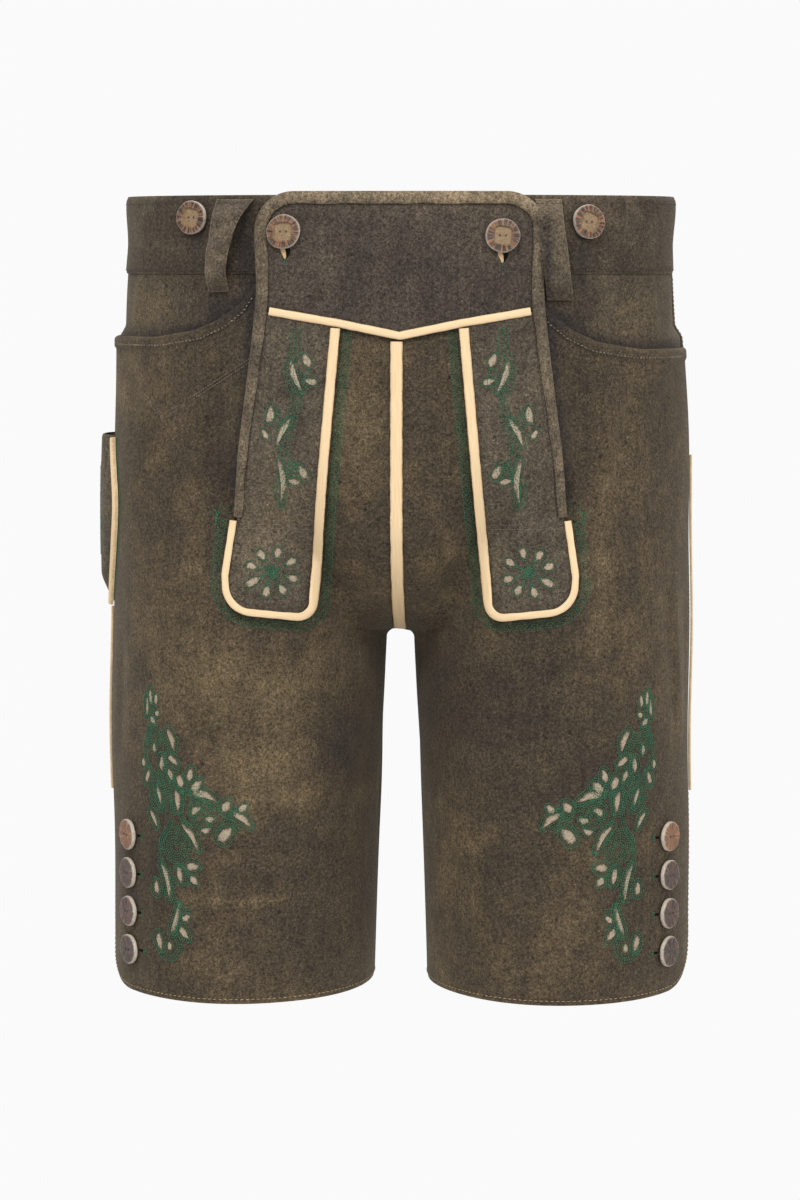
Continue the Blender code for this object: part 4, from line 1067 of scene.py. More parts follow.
# ---- Knife pocket
# A narrow pouch on the right thigh for a sheath knife, open at the top, with a folded cream piping
# along its front edge.
KnifeEdge = namedtuple("KnifeEdge", "height front back")
KNIFE_POCKET = (
    KnifeEdge(-0.1255, 0.040, -0.020),
    KnifeEdge(-0.1650, 0.050, -0.022),
    KnifeEdge(-0.1950, 0.034, -0.020),
    KnifeEdge(KNIFE_FOOT, 0.010, -0.017),
)
KNIFE_ROOM, KNIFE_WALL, KNIFE_REST, KNIFE_CLOSING = 0.0060, 0.0016, 0.0045, 0.02
on_right_leg = on_leg_side(SIDES["right"])


def knife_lift(across, height):
    """How far the pouch stands out from its edges' level, at shares -1 to 1 of its width."""
    return KNIFE_REST + KNIFE_ROOM * (1 - across ** 4) * smooth((height - KNIFE_FOOT) / KNIFE_CLOSING)


columns, rows = 40, 64
height = np.linspace(KNIFE_POCKET[0].height, KNIFE_FOOT, rows + 1)[:, None]
across = np.linspace(-1, 1, columns + 1)[None, :]
front, back = column(KNIFE_POCKET, "front", height), column(KNIFE_POCKET, "back", height)
forward = (front + back) / 2 + across * (front - back) / 2
low = knife_lift(across, height)
faces = [on_right_leg(forward, height, lift) for lift in (low, low + KNIFE_WALL)]
pouch = leather_piece("knife_pocket_leather", *faces, grid_quads(rows, columns), BAND_SUEDE)
on_root(pouch, "brown_suede", "knife_pocket")

heights = np.linspace(KNIFE_POCKET[0].height - 0.002, KNIFE_FOOT, 90)
path = [(float(column(KNIFE_POCKET, "front", z)) + 0.0035, z) for z in heights]


def knife_piping_width(run):
    """The piping is a little wider where it is folded over the pocket's mouth."""
    return 0.005 + 0.0006 * (1 - smooth((run - 0.010) / 0.003))


ring_at = crowned(knife_piping_width, KNIFE_REST, KNIFE_PIPING_HEIGHT)
trim = swept("knife_pocket_piping_leather", path, on_right_leg, ring_at, CREAM)
on_root(trim, "cream_leather", "knife_pocket_piping")


# ---- Belt loops
# Five strips of suede, sewn through at both ends, that stand 7.6 mm clear of the waistband. The front
# right one has puckered and leans.
LOOP_STAND, LOOP_WALL, LOOP_REST = 0.0076, 0.0018, 0.0036
LoopEdge = namedtuple("LoopEdge", "height low_side high_side")
PUCKERED = (
    LoopEdge(0.0215, -0.1105, -0.0870),
    LoopEdge(0.0090, -0.1130, -0.0955),
    LoopEdge(-0.0030, -0.1148, -0.1000),
    LoopEdge(-0.0120, -0.1165, -0.1024),
    LoopEdge(-0.0240, -0.1168, -0.1036),
    LoopEdge(-0.0350, -0.1150, -0.1022),
)
STRAIGHT = (
    LoopEdge(0.0215, 0.0845, 0.1008),
    LoopEdge(0.0080, 0.0862, 0.1020),
    LoopEdge(-0.0080, 0.0884, 0.1042),
    LoopEdge(-0.0240, 0.0902, 0.1062),
    LoopEdge(-0.0400, 0.0920, 0.1080),
)
PLAIN_HALF = 0.0075
PLAIN_WANDER = ((0.0215, 0.0), (0.0100, 0.0006), (-0.0060, -0.0004), (-0.0200, 0.0005), (-0.0340, 0.0))


def plain_loop(middle):
    """The edges of a loop 15 mm wide about a middle, a little out of true."""
    return tuple(
        LoopEdge(height, middle - PLAIN_HALF + aside, middle + PLAIN_HALF + aside)
        for height, aside in PLAIN_WANDER)


BeltLoop = namedtuple("BeltLoop", "name behind edges pucker")
BELT_LOOPS = (
    BeltLoop("front_right", False, PUCKERED, 0.0013),
    BeltLoop("front_left", False, STRAIGHT, 0.0005),
    BeltLoop("back_right", True, plain_loop(-0.0950), 0.0007),
    BeltLoop("back_centre", True, plain_loop(0.0), 0.0005),
    BeltLoop("back_left", True, plain_loop(0.0950), 0.0008),
)
LOOP_BROWN = suede("loop suede", (0.078, 0.061, 0.043), rubbed=(0.155, 0.118, 0.076))


def on_loop(loop, share, aside):
    """A loop's (across, height, lift) at shares of its length and, from -0.5 to 0.5, of its width."""
    top, foot = loop.edges[0].height, loop.edges[-1].height
    height = top + (foot - top) * share + 0 * aside
    low_side, high_side = (column(loop.edges, edge, height) for edge in ("low_side", "high_side"))
    across = (low_side + high_side) / 2 + aside * (high_side - low_side)
    free = np.sin(np.pi * share) ** 0.5
    lift = LOOP_REST + LOOP_STAND * smooth(np.minimum(share, 1 - share) / 0.2)
    lift = lift + free * loop.pucker * (np.sin(17 * share + 4 * aside) + 0.6 * np.sin(31 * share - 7 * aside))
    return across, height, lift + free * (0.0022 * (0.25 - aside ** 2) * 4 + loop.pucker * 2.2 * aside)


for loop in BELT_LOOPS:
    columns, rows = 16, 72
    share = np.clip(np.linspace(0, 1, rows + 1), 0.0005, 0.9995)[:, None]
    aside = np.linspace(-0.5, 0.5, columns + 1)[None, :]
    across, height, low = on_loop(loop, share, aside)
    faces = [on_face(across, height, lift, loop.behind) for lift in (low, low + LOOP_WALL)]
    strap = leather_piece(
        f"belt_loop_{loop.name}_leather", *faces, grid_quads(rows, columns), LOOP_BROWN, edge_wear=0.7)
    on_root(strap, "brown_suede", f"belt_loop_{loop.name}")


# ---- Seams and topstitching
# Dark brown thread on the seams, tan thread round the hems and slits, grey brown along the pockets'
# mouths and the finest seams. Each stitch is a short plump dash.
def stitch_tree():
    """Lays stitches along every line of a mesh of edges."""
    tree = bpy.data.node_groups.new("rows of stitches", "GeometryNodeTree")
    for name, kind in (
        ("Geometry", "NodeSocketGeometry"), ("Pitch", "NodeSocketFloat"), ("Length", "NodeSocketFloat"),
        ("Thickness", "NodeSocketFloat"), ("Unevenness", "NodeSocketFloat"), ("Thread", "NodeSocketMaterial"),
    ):
        tree.interface.new_socket(name, in_out="INPUT", socket_type=kind)
    tree.interface.new_socket("Geometry", in_out="OUTPUT", socket_type="NodeSocketGeometry")
    given = tree.nodes.new("NodeGroupInput").outputs
    lines = node(tree, "GeometryNodeMeshToCurve", {"Mesh": given["Geometry"]}).outputs["Curve"]
    points = node(tree, "GeometryNodeCurveToPoints", mode="LENGTH")
    tree.links.new(lines, points.inputs["Curve"])
    tree.links.new(given["Pitch"], points.inputs["Length"])
    facing = node(tree, "FunctionNodeAlignRotationToVector", {"Vector": points.outputs["Tangent"]}, axis="Z")
    lean = node(tree, "FunctionNodeRandomValue", data_type="FLOAT_VECTOR")
    for side, end in ((-1, "Min"), (1, "Max")):
        amount = node(tree, "ShaderNodeMath", {0: given["Unevenness"], 1: float(side)}, operation="MULTIPLY")
        tree.links.new(amount.outputs[0], lean.inputs[end])
    lean.inputs["Seed"].default_value = 7
    turned = node(tree, "FunctionNodeRotateRotation", {"Rotation": facing.outputs[0]}, rotation_space="LOCAL")
    as_rotation = node(tree, "FunctionNodeEulerToRotation", {"Euler": lean.outputs["Value"]})
    tree.links.new(as_rotation.outputs[0], turned.inputs["Rotate By"])
    bead = node(tree, "GeometryNodeMeshUVSphere", {"Segments": 5, "Rings": 4, "Radius": 0.5})
    size = node(tree, "ShaderNodeCombineXYZ", {
        "X": given["Thickness"], "Y": given["Thickness"], "Z": given["Length"]})
    placed = node(tree, "GeometryNodeInstanceOnPoints", {
        "Points": points.outputs["Points"], "Instance": bead.outputs["Mesh"],
        "Rotation": turned.outputs[0], "Scale": size.outputs[0]})
    real = node(tree, "GeometryNodeRealizeInstances", {"Geometry": placed.outputs[0]})
    soft = node(tree, "GeometryNodeSetShadeSmooth", {"Geometry": real.outputs[0]})
    finished = node(
        tree, "GeometryNodeSetMaterial", {"Geometry": soft.outputs[0], "Material": given["Thread"]})
    tree.links.new(finished.outputs[0], tree.nodes.new("NodeGroupOutput").inputs["Geometry"])
    return tree


STITCHES = stitch_tree()


def stitched(name, lines, pitch, length, thickness, thread, unevenness=0.12):
    """Stitches along a list of lines of points, as one plain mesh."""
    points, edges = [], []
    for line in lines:
        first = len(points)
        points += [tuple(point) for point in line]
        edges += [(first + k, first + k + 1) for k in range(len(line) - 1)]
    guide_mesh = bpy.data.meshes.new(name + " guide")
    guide_mesh.from_pydata(points, edges, [])
    guide = bpy.data.objects.new(name + " guide", guide_mesh)
    scene.collection.objects.link(guide)
    modifier = guide.modifiers.new("stitches", "NODES")
    modifier.node_group = STITCHES
    values = {
        "Pitch": pitch, "Length": length, "Thickness": thickness, "Unevenness": unevenness, "Thread": thread
    }
    for item in STITCHES.interface.items_tree:
        if item.in_out == "INPUT" and item.name in values:
            modifier[item.identifier] = values[item.name]
    bpy.context.view_layer.update()
    ready = guide.evaluated_get(bpy.context.evaluated_depsgraph_get())
    mesh = bpy.data.meshes.new_from_object(ready)
    mesh.name = name
    bpy.data.objects.remove(guide)
    thing = bpy.data.objects.new(name, mesh)
    scene.collection.objects.link(thing)
    on_root(thing, "brown_suede")


def thread_material(name, colour, dark):
    """Twisted cotton thread: it varies from stitch to stitch."""
    made, tree, shader = new_material(name)
    place = tree.nodes.new("ShaderNodeTexCoord").outputs["Object"]
    shade = spread(tree, noise(tree, place, 420.0, 2.0), 0.3, 0.7, 0.0, 1.0)
    tree.links.new(blended(tree, shade, (*colour, 1.0), (*dark, 1.0)), shader.inputs["Base Color"])
    shader.inputs["Roughness"].default_value = 0.6
    roughened(tree, shader, noise(tree, place, 3000.0), 0.4, 0.0001)
    return made


BROWN_THREAD = thread_material("brown thread", (0.060, 0.048, 0.038), (0.028, 0.022, 0.018))
TAN_THREAD = thread_material("tan thread", (0.42, 0.30, 0.15), (0.22, 0.15, 0.08))
GREY_THREAD = thread_material("grey brown thread", (0.23, 0.195, 0.145), (0.060, 0.048, 0.036))
GREEN_THREAD = thread_material("green thread", (0.018, 0.150, 0.068), (0.006, 0.062, 0.028))
PROUD, HEM_STITCH_IN, HEM_CURVE_END = 0.00012, 0.0030, 0.06

hem_lines = []
for side in SIDES.values():
    for ahead in (1, -1):
        heights = np.linspace(SLIT_TOP - 0.002, float(hem_height(HEM_STITCH_IN)) + 0.006, 60)
        down = on_side(side, ahead * HEM_STITCH_IN * np.ones(60), heights, LEG.outer + PROUD)
        reach = float(hem_forward(side, 0.0))
        straight = np.linspace(HEM_CURVE_END, reach - 0.001, 200)[1:]
        forward = np.concatenate([np.linspace(0, HEM_CURVE_END, 80), straight])
        forward = forward[forward > HEM_STITCH_IN * 0.7]
        share = 1 - forward / reach
        dip = HEM_DIP * np.sin(np.pi * np.clip(share, 0, 1)) if ahead > 0 else 0.0
        turn = share if ahead > 0 else 2 - share
        along = surface(side, turn, hem_height(forward, dip) + HEM_STITCH_IN, LEG.outer + PROUD)
        hem_lines.append(np.concatenate([down[:-6], along]))
stitched(
    "hem_topstitching", hem_lines, pitch=0.0034, length=0.0024, thickness=0.00055, thread=TAN_THREAD)


def back_face(height):
    """Lift of the back's outer face, which thins to go under the waistband."""
    return BACK_AT_WAIST.outer + (LEG.outer - BACK_AT_WAIST.outer) * smooth((BAND_FOOT - height) / BACK_EASE)


BINDING_STITCH_IN, POCKET_STITCH_IN, YOKE_STITCH_IN = 0.0088, 0.0052, 0.0040
WAISTBAND_STITCHES = (BAND_TOP - 0.0046, BAND_FOOT + 0.0022)
seam_lines, pocket_lines, fine_lines = [], [], []
for side in SIDES.values():
    across = np.linspace(0.088, 0.176, 120)
    drop = pocket_edge(side, across)
    pocket_lines.append(on_face(side * across, drop - POCKET_STITCH_IN, LEG.outer + POCKET_FOLD + PROUD))
    turn = np.linspace(0.02, 1.98, 400)
    for height in WAISTBAND_STITCHES:
        seam_lines.append(surface(side, turn, height, WAISTBAND.outer + PROUD))
    height = np.linspace(BAND_FOOT - 0.004, CROTCH + 0.004, 150)
    for off_seam in (0.0020, 0.0065):
        seam_lines.append(on_face(side * off_seam, height, back_face(height) + PROUD, behind=True))
    height = np.linspace(BAND_FOOT - 0.004, SLIT_TOP, 200)
    seam_lines.append(on_side(side, -0.0065, height, back_face(height) + PROUD))
    across = np.linspace(0.056, 0.098, 40)
    for height in (-0.1768, -0.1795):
        fine_lines.append(on_flap(side)(across, height, flap_face(height) + PROUD))
    beside_binding = np.linspace(-0.168, -0.052, 90)
    edge = np.array([(float(flap_half(z)) - 0.0082 + 0.0014 * (z < -0.1), z) for z in beside_binding])
    seam_lines.append(on_flap(side)(edge[:, 0], edge[:, 1], flap_face(edge[:, 1]) + PROUD))
across = np.linspace(-0.078, 0.078, 150)
seam_lines.append(on_flap(1)(across, yoke_foot(across) + YOKE_STITCH_IN, YOKE.outer + PROUD))
inside = (binding_line + sideways(binding_line) * BINDING_STITCH_IN)[binding_line[:, 1] > -0.040]
seam_lines.append(on_flap(1)(inside[:, 0], inside[:, 1], YOKE.outer + PROUD))
corner = [(-0.0870, -0.0740), (-0.1445, -0.1110), (-0.1570, -0.0985)]
for shift in (0.0, 0.0022):
    path = resampled(corner, 90)
    fine_lines.append(on_face(path[:, 0], path[:, 1] - shift, LEG.outer + PROUD))
for loop in BELT_LOOPS:
    for share in (0.045, 0.94):
        across, height, low = on_loop(loop, np.array(share), np.linspace(-0.44, 0.44, 14))
        seam_lines.append(on_face(across, height, low + LOOP_WALL + PROUD, loop.behind))
stitched(
    "seam_topstitching", seam_lines, pitch=0.0027, length=0.0021, thickness=0.00050, thread=BROWN_THREAD)
stitched(
    "pocket_topstitching", pocket_lines, pitch=0.0026, length=0.0019, thickness=0.00085,
    thread=GREY_THREAD, unevenness=0.7)
stitched("fine_seams", fine_lines, pitch=0.0017, length=0.0015, thickness=0.00045, thread=GREY_THREAD)


# ---- Green embroidery
# Dark green thread in dotted rows: a zigzag border outside each band's piping, a winding stem with
# leaves on each band, a flower on each patch, and a spray of scrolls above each hem's buttons. Leaves
# are cut through the dyed face of the suede, so that its pale inside shows.
def pale_suede():
    made, tree, shader = new_material("pale cut suede")
    place = tree.nodes.new("ShaderNodeTexCoord").outputs["Object"]
    rim = node(tree, "ShaderNodeAttribute", attribute_name="rim").outputs["Fac"]
    fluff = noise(tree, place, 1300.0, 2.0)
    shade = spread(tree, fluff, 0.3, 0.7, 0.0, 1.0)
    colour = blended(tree, shade, (0.42, 0.355, 0.262, 1.0), (0.21, 0.170, 0.115, 1.0))
    fade = math_of(tree, "ADD", rim, spread(tree, noise(tree, place, 800.0), 0.3, 0.7, -0.55, 0.45))
    colour = blended(tree, spread(tree, fade, 0.20, 1.10, 0.0, 1.0), colour, (0.085, 0.066, 0.045, 1.0))
    tree.links.new(colour, shader.inputs["Base Color"])
    shader.inputs["Roughness"].default_value = 0.95
    shader.inputs["Specular IOR Level"].default_value = 0.1
    roughened(tree, shader, fluff, 0.6, 0.0004)
    return made


PALE_SUEDE = pale_suede()
MM = 0.001


def winding(points, step=0.0006):
    """A smooth line through a few points given in millimetres."""
    points = np.array(points, float) * MM
    ends = np.vstack([2 * points[0] - points[1], points, 2 * points[-1] - points[-2]])
    line = []
    for a, b, c, d in zip(ends, ends[1:], ends[2:], ends[3:]):
        t = np.linspace(0, 1, 14, endpoint=False)[:, None]
        line.append(0.5 * (2 * b + (c - a) * t + (2 * a - 5 * b + 4 * c - d) * t ** 2
                           + (3 * b - a - 3 * c + d) * t ** 3))
    line = np.vstack(line + [points[-1:]])
    length = np.linalg.norm(np.diff(line, axis=0), axis=1).sum()
    return resampled(line, max(4, int(length / step)))


def beside(line, offset):
    """The line moved to its right."""
    return line + sideways(line) * offset


def scroll(across, height, radius, start, sweep, closing=0.62):
    """A spiral that winds in, from angle `start` through `sweep` degrees; sizes in millimetres."""
    t = np.linspace(0, 1, 70)
    angle = np.radians(start + sweep * t)
    r = radius * (1 - closing * t)
    return np.stack([across + r * np.cos(angle), height + r * np.sin(angle)], axis=1) * MM


def leaf_outline(across, height, length, width, angle, bend=0.0, count=34):
    """A pointed leaf about its middle, pointing along `angle`; sizes in millimetres."""
    t = np.linspace(0, 2 * np.pi, count, endpoint=False)
    x = length / 2 * np.cos(t)
    y = 1.12 * width / 2 * np.sin(t) * np.abs(np.sin(t / 2)) ** 0.5 + bend * (1 - (2 * x / length) ** 2)
    turned = math.radians(angle)
    ragged = 1.0 + 0.05 * np.sin(5 * t + across) + 0.04 * np.sin(11 * t + 3 * height)
    x, y = x * ragged, y * ragged
    return np.stack([
        across + x * math.cos(turned) - y * math.sin(turned),
        height + x * math.sin(turned) + y * math.cos(turned),
    ], axis=1) * MM


def cut_leaves(name, leaves, place, lift):
    """Pale leaves as low fluffy mounds, joined in one mesh."""
    points, faces, rims = [], [], []
    levels = ((1.04, -0.0002, 1.4), (1.0, 0.00005, 1.2), (0.76, 0.00022, 0.60), (0.40, 0.0003, 0.0))
    for outline in leaves:
        first, count, middle = sum(len(p) for p in points), len(outline), outline.mean(axis=0)
        for size, proud, rim in levels:
            flat = middle + (outline - middle) * size
            face = lift(flat[:, 1]) if callable(lift) else lift
            points.append(place(flat[:, 0], flat[:, 1], face + proud))
            rims += [rim] * count
        faces += tube_faces(first + np.arange(len(levels) * count).reshape(len(levels), count))
    thing = put_mesh(name, np.concatenate(points), faces, PALE_SUEDE)
    marked(thing, "rim", rims)
    on_root(thing, "brown_suede")


def closed(outline, grow):
    """The outline moved out from its middle, as a closed line for stitches."""
    return beside(np.vstack([outline, outline[:2]]), grow)


# Leaves: middle, length, width and the angle they point to; on a leg `across` runs forward from the seam.
Leaf = namedtuple("Leaf", "across height length width angle bend")
LEG_LEAVES = (
    Leaf(86.5, -297, 12, 2.6, 82, -0.5), Leaf(91, -291, 10, 3.4, 88, 0.0), Leaf(97, -292, 8, 3.6, 74, 0.3),
    Leaf(97, -301, 5, 3.6, 30, 0.0), Leaf(92, -306, 7, 4.6, -40, 0.0),
    Leaf(92, -323, 7, 3.8, 84, 0.4), Leaf(108, -317, 14, 5.0, -72, 1.6), Leaf(109, -330, 10, 4.4, -32, 0.4),
    Leaf(98.5, -332, 10, 4.4, 78, 0.0), Leaf(106, -339, 8, 4.4, -64, 0.0),
    Leaf(79, -333, 6, 4.2, 80, 0.0), Leaf(83, -341, 10, 4.0, 62, -0.6),
    Leaf(94, -353, 12, 3.4, -74, 0.8), Leaf(114, -343, 9, 6.0, -72, 0.0), Leaf(122.5, -338, 9, 4.8, 64, 0.0),
    Leaf(127, -345, 11, 6.0, 40, 0.0), Leaf(110, -355, 14, 4.8, -88, 0.8),
    Leaf(132, -352, 19, 5.0, -12, 2.0), Leaf(125, -361, 9, 4.6, 28, 1.2), Leaf(135, -365, 8, 4.2, 8, -0.8),
    Leaf(131, -372, 8, 4.0, 14, -1.0), Leaf(148, -357, 9, 6.0, 42, 0.0), Leaf(160, -358, 8, 4.6, 34, 0.0),
    Leaf(158, -366, 15, 5.0, -36, 1.8), Leaf(145, -375, 14, 7.2, 38, 0.0),
    Leaf(88, -368, 12, 3.4, -56, 0.8), Leaf(118, -378, 20, 4.0, -58, 2.4), Leaf(119, -396, 10, 5.2, 4, 0.0),
    Leaf(109, -402, 11, 4.6, -76, 0.0), Leaf(120, -405, 8, 4.8, -40, 0.0), Leaf(91, -411, 9, 4.6, 106, 0.6),
    Leaf(98, -407, 25, 3.6, -70, 1.8), Leaf(107, -430, 21, 3.8, 74, -1.4), Leaf(116, -429, 7, 4.2, 30, 0.0),
    Leaf(114, -439, 9, 5.0, -48, 0.0), Leaf(94, -446, 11, 5.2, -82, -0.6), Leaf(102, -448, 6, 4.0, 84, 0.0),
)
LEG_STEMS = [
    winding([
        (92, -299), (90, -310), (82, -322), (86, -336), (98, -344), (106, -356), (103, -370), (95, -380),
    ]),
    winding([(100, -312), (103, -322), (101, -334), (110, -346), (116, -350), (113, -364), (120, -372)]),
    winding([(116, -350), (126, -350), (140, -358), (150, -364), (154, -358)]),
    winding([(138, -374), (146, -366), (156, -372)]),
    winding([
        (95, -380), (93, -392), (99, -402), (104, -414), (110, -424), (107, -438), (110, -449), (104, -456),
    ]),
    winding([(104, -456), (96, -455), (92, -450)]),
    winding([(106, -396), (114, -400), (116, -408)]),
    winding([(108, -422), (112, -424), (118, -424)]),
]
LEG_SCROLLS = [
    scroll(92, -317, 8.8, 60, 900, 0.80), scroll(95, -352, 12.6, 100, -1150, 0.82),
    scroll(128, -363, 10.6, 150, -900, 0.80), scroll(106, -384, 13.0, 200, -1250, 0.84),
]
STITCH = dict(pitch=0.00160, length=0.00115, thickness=0.00082, thread=GREEN_THREAD)
LEG_FACE = LEG.outer + PROUD
SPRAY_RAISE, SPRAY_LEAN, LEAN_BELOW = 0.0050, 0.0070, -0.39
for word, side in SIDES.items():
    def on_leg(forward, height, lift, side=side):
        """The spray leans back toward the side seam at its foot."""
        lean = SPRAY_LEAN * smooth((LEAN_BELOW - height) / 0.05)
        return on_side(side, forward - lean, height + SPRAY_RAISE, lift)

    leaves = [leaf_outline(*leaf) for leaf in LEG_LEAVES]
    rows = [beside(stem, offset) for stem in LEG_STEMS for offset in (-0.0017, 0.0, 0.0017)]
    rows += [beside(coil, offset) for coil in LEG_SCROLLS for offset in (-0.0006, 0.0008)]
    rows += [closed(leaf, 0.0010) for leaf in leaves]
    rows += [closed(leaf, 0.0026) for row, leaf in zip(LEG_LEAVES, leaves) if row.length > 8]
    lines = [on_leg(row[:, 0], row[:, 1], LEG_FACE) for row in rows]
    stitched(f"leg_embroidery_{word}", lines, **STITCH)
    cut_leaves(f"leg_cut_leaves_{word}", leaves, on_leg, LEG.outer)

BAND_LEAVES = (
    Leaf(67, -92, 21, 3.8, -110, 1.4), Leaf(61, -82, 9, 5.0, 66, 0.0), Leaf(58.5, -95, 8, 4.4, 12, 0.0),
    Leaf(83.5, -115, 11, 5.2, 98, 0.6), Leaf(86.5, -127, 7, 3.6, 58, 0.0), Leaf(75, -126, 20, 3.8, -62, 1.2),
    Leaf(78, -156, 29, 3.8, -92, -2.6), Leaf(63.5, -150, 10, 5.2, 62, 0.0), Leaf(69, -156, 8, 4.0, 14, 0.0),
)
BAND_STEMS = [
    winding([
        (67, -63), (68, -76), (72, -90), (67, -106), (70, -118), (74, -134), (73, -148), (79, -160),
        (76, -173),
    ]),
    winding([(67, -102), (61, -96), (62, -88)]),
    winding([(70, -118), (78, -121), (80, -112)]),
    winding([(73, -146), (67, -150), (66, -144)]),
]
BAND_SHIFT = (0.0045, 0.0060)
PATCH_MIDDLE = (78.5, -206)
PETALS = (150, 105, 60, 18, -28, -75, -118, -160)
STEM_BENDS = ((1, 40), (5, 14), (9, 0))


def off_patch(across, along, degrees):
    """The point on an oval about the patch's middle."""
    angle = math.radians(degrees)
    return PATCH_MIDDLE[0] + across * math.cos(angle), PATCH_MIDDLE[1] + along * math.sin(angle)


petals = [Leaf(*off_patch(13, 12, a), 7.0 if a != -28 else 10, 4.6, a + 180, 0.0) for a in PETALS]
PATCH_STEMS = [winding([off_patch(r, r, a + bend) for r, bend in STEM_BENDS]) for a in PETALS]
for word, side in SIDES.items():
    def place(across, height, lift, side=side):
        """The band's spray stands a little nearer the middle and higher than it is drawn."""
        on_band = smooth((height + 0.19) / 0.01)
        return on_flap(side)(across - BAND_SHIFT[0] * on_band, height + BAND_SHIFT[1] * on_band, lift)

    leaves = [leaf_outline(*leaf) for leaf in BAND_LEAVES + tuple(petals)]
    rows = [beside(stem, offset) for stem in BAND_STEMS for offset in (-0.0030, -0.0010, 0.0010, 0.0030)]
    rows += [beside(stem, offset) for stem in PATCH_STEMS for offset in (-0.0007, 0.0007)]
    rows += [scroll(*PATCH_MIDDLE, 5.0, 0, 1100, 0.85)]
    rows += [closed(leaf, 0.0010) for leaf in leaves]
    lines = [place(row[:, 0], row[:, 1], flap_face(row[:, 1]) + PROUD) for row in rows]
    stitched(f"band_embroidery_{word}", lines, **STITCH)
    cut_leaves(f"band_cut_leaves_{word}", leaves, place, flap_face)

# the zigzag border: it keeps outside the piping, on the flap's centre and then on the leg
# rows: distance out from the band's edge, swing to either side, phase
BORDER_ROWS = ((0.0045, 0.0, 0), (0.0068, 0.0020, 0), (0.0068, 0.0020, np.pi), (0.0092, 0.0, 0))
ZIGZAG_PITCH, BORDER_TIP = 0.0062, np.array((112.5, -171.0))
for word, side in SIDES.items():
    place = on_flap(side)
    line = patch_line()
    first, last = line[0] - np.array((0.0, 0.005)), line[-1] - np.array((0.0, 0.002))
    border = resampled([first, *line[1:-1], last], 900)
    run = np.linspace(0, np.linalg.norm(np.diff(border, axis=0), axis=1).sum(), len(border))
    lines = []
    for offset, swing, phase in BORDER_ROWS:
        zigzag = 2 / np.pi * np.arcsin(np.sin(2 * np.pi * run / ZIGZAG_PITCH + phase))
        row = border + sideways(border) * (offset + swing * zigzag)[:, None]
        lift = LEG_FACE + np.where(row[:, 0] < 0.09, flap_raise(row[:, 1]), 0.0)
        lines.append(place(row[:, 0], row[:, 1], lift))
    for reach in ((-9, 6), (-8, 1), (-3, 7), (3, 4), (6, 0)):
        path = winding([BORDER_TIP + np.array((1, -6)), BORDER_TIP, BORDER_TIP + np.array(reach)])
        lines.append(place(path[:, 0], path[:, 1], LEG_FACE))
    stitched(
        f"border_embroidery_{word}", lines, pitch=0.00175, length=0.00125, thickness=0.00066,
        thread=GREEN_THREAD)

# a row and a small spray ahead of the knife pocket, and leaves on the pouch
heights = np.linspace(-0.130, -0.231, 70)
forward = column(KNIFE_POCKET, "front", heights) + 0.0085
lines = [on_right_leg(forward + extra, heights, LEG_FACE) for extra in (0.0, 0.0022)]
for reach in ((6, 5), (8, 0), (3, 8)):
    path = winding([(49, -134), (52, -129), (52 + reach[0], -128 + reach[1])])
    lines.append(on_right_leg(path[:, 0], path[:, 1], LEG_FACE))
POUCH_LEAVES = (
    Leaf(18, -152, 11, 3.2, 70, 0.6), Leaf(9, -158, 11, 3.0, 115, -0.6), Leaf(15, -171, 14, 3.0, 95, 1.0),
    Leaf(4, -176, 9, 2.8, 150, 0.0), Leaf(22, -181, 9, 2.8, 40, 0.0),
)


def on_pouch(forward, height, lift):
    """Places on the pouch's own face."""
    front, back = column(KNIFE_POCKET, "front", height), column(KNIFE_POCKET, "back", height)
    across = (forward - (front + back) / 2) / ((front - back) / 2)
    return on_right_leg(forward, height, knife_lift(across, height) + KNIFE_WALL + lift)


leaves = [leaf_outline(*leaf) for leaf in POUCH_LEAVES]
stem = winding([(11, -144), (13, -158), (8, -172), (11, -188), (6, -202)])
rows = [closed(leaf, 0.0010) for leaf in leaves] + [beside(stem, offset) for offset in (-0.0010, 0.0010)]
lines += [on_pouch(row[:, 0], row[:, 1], PROUD) for row in rows]
stitched("knife_pocket_embroidery", lines, **STITCH)
cut_leaves("knife_pocket_cut_leaves", leaves, on_pouch, 0.0)


# ---- Antler buttons
# Slices of stag antler: dark striped bark round a pale bone core. The flap's and waistband's four have
# a rounded square sunk in the middle; the hems' eight are flat. Each has two thread holes.
Button = namedtuple("Button", "name across height radius lift recess")
BUTTONS = [
    Button("flap_button_right", -0.0677, 0.0014, 0.0105, YOKE.outer, 0.0056),
    Button("flap_button_left", 0.0643, -0.0010, 0.0105, YOKE.outer, 0.0056),
    Button("waist_button_right", -0.1246, 0.0102, 0.0105, WAISTBAND.outer, 0.0056),
    Button("waist_button_left", 0.1161, 0.0076, 0.0105, WAISTBAND.outer, 0.0056),
]
HEM_BUTTON_TOP, HEM_BUTTON_PITCH, HEM_BUTTON_ACROSS, HEM_BUTTON_RADIUS = -0.3755, 0.0245, 0.1682, 0.0095
for word, side in SIDES.items():
    for k in range(4):
        BUTTONS.append(Button(
            f"hem_button_{word}_{k + 1}", side * HEM_BUTTON_ACROSS, HEM_BUTTON_TOP - HEM_BUTTON_PITCH * k,
            HEM_BUTTON_RADIUS, LEG.outer, 0.0))
BUTTON_THICKNESS, BUTTON_CLEAR = 0.0032, 0.0012


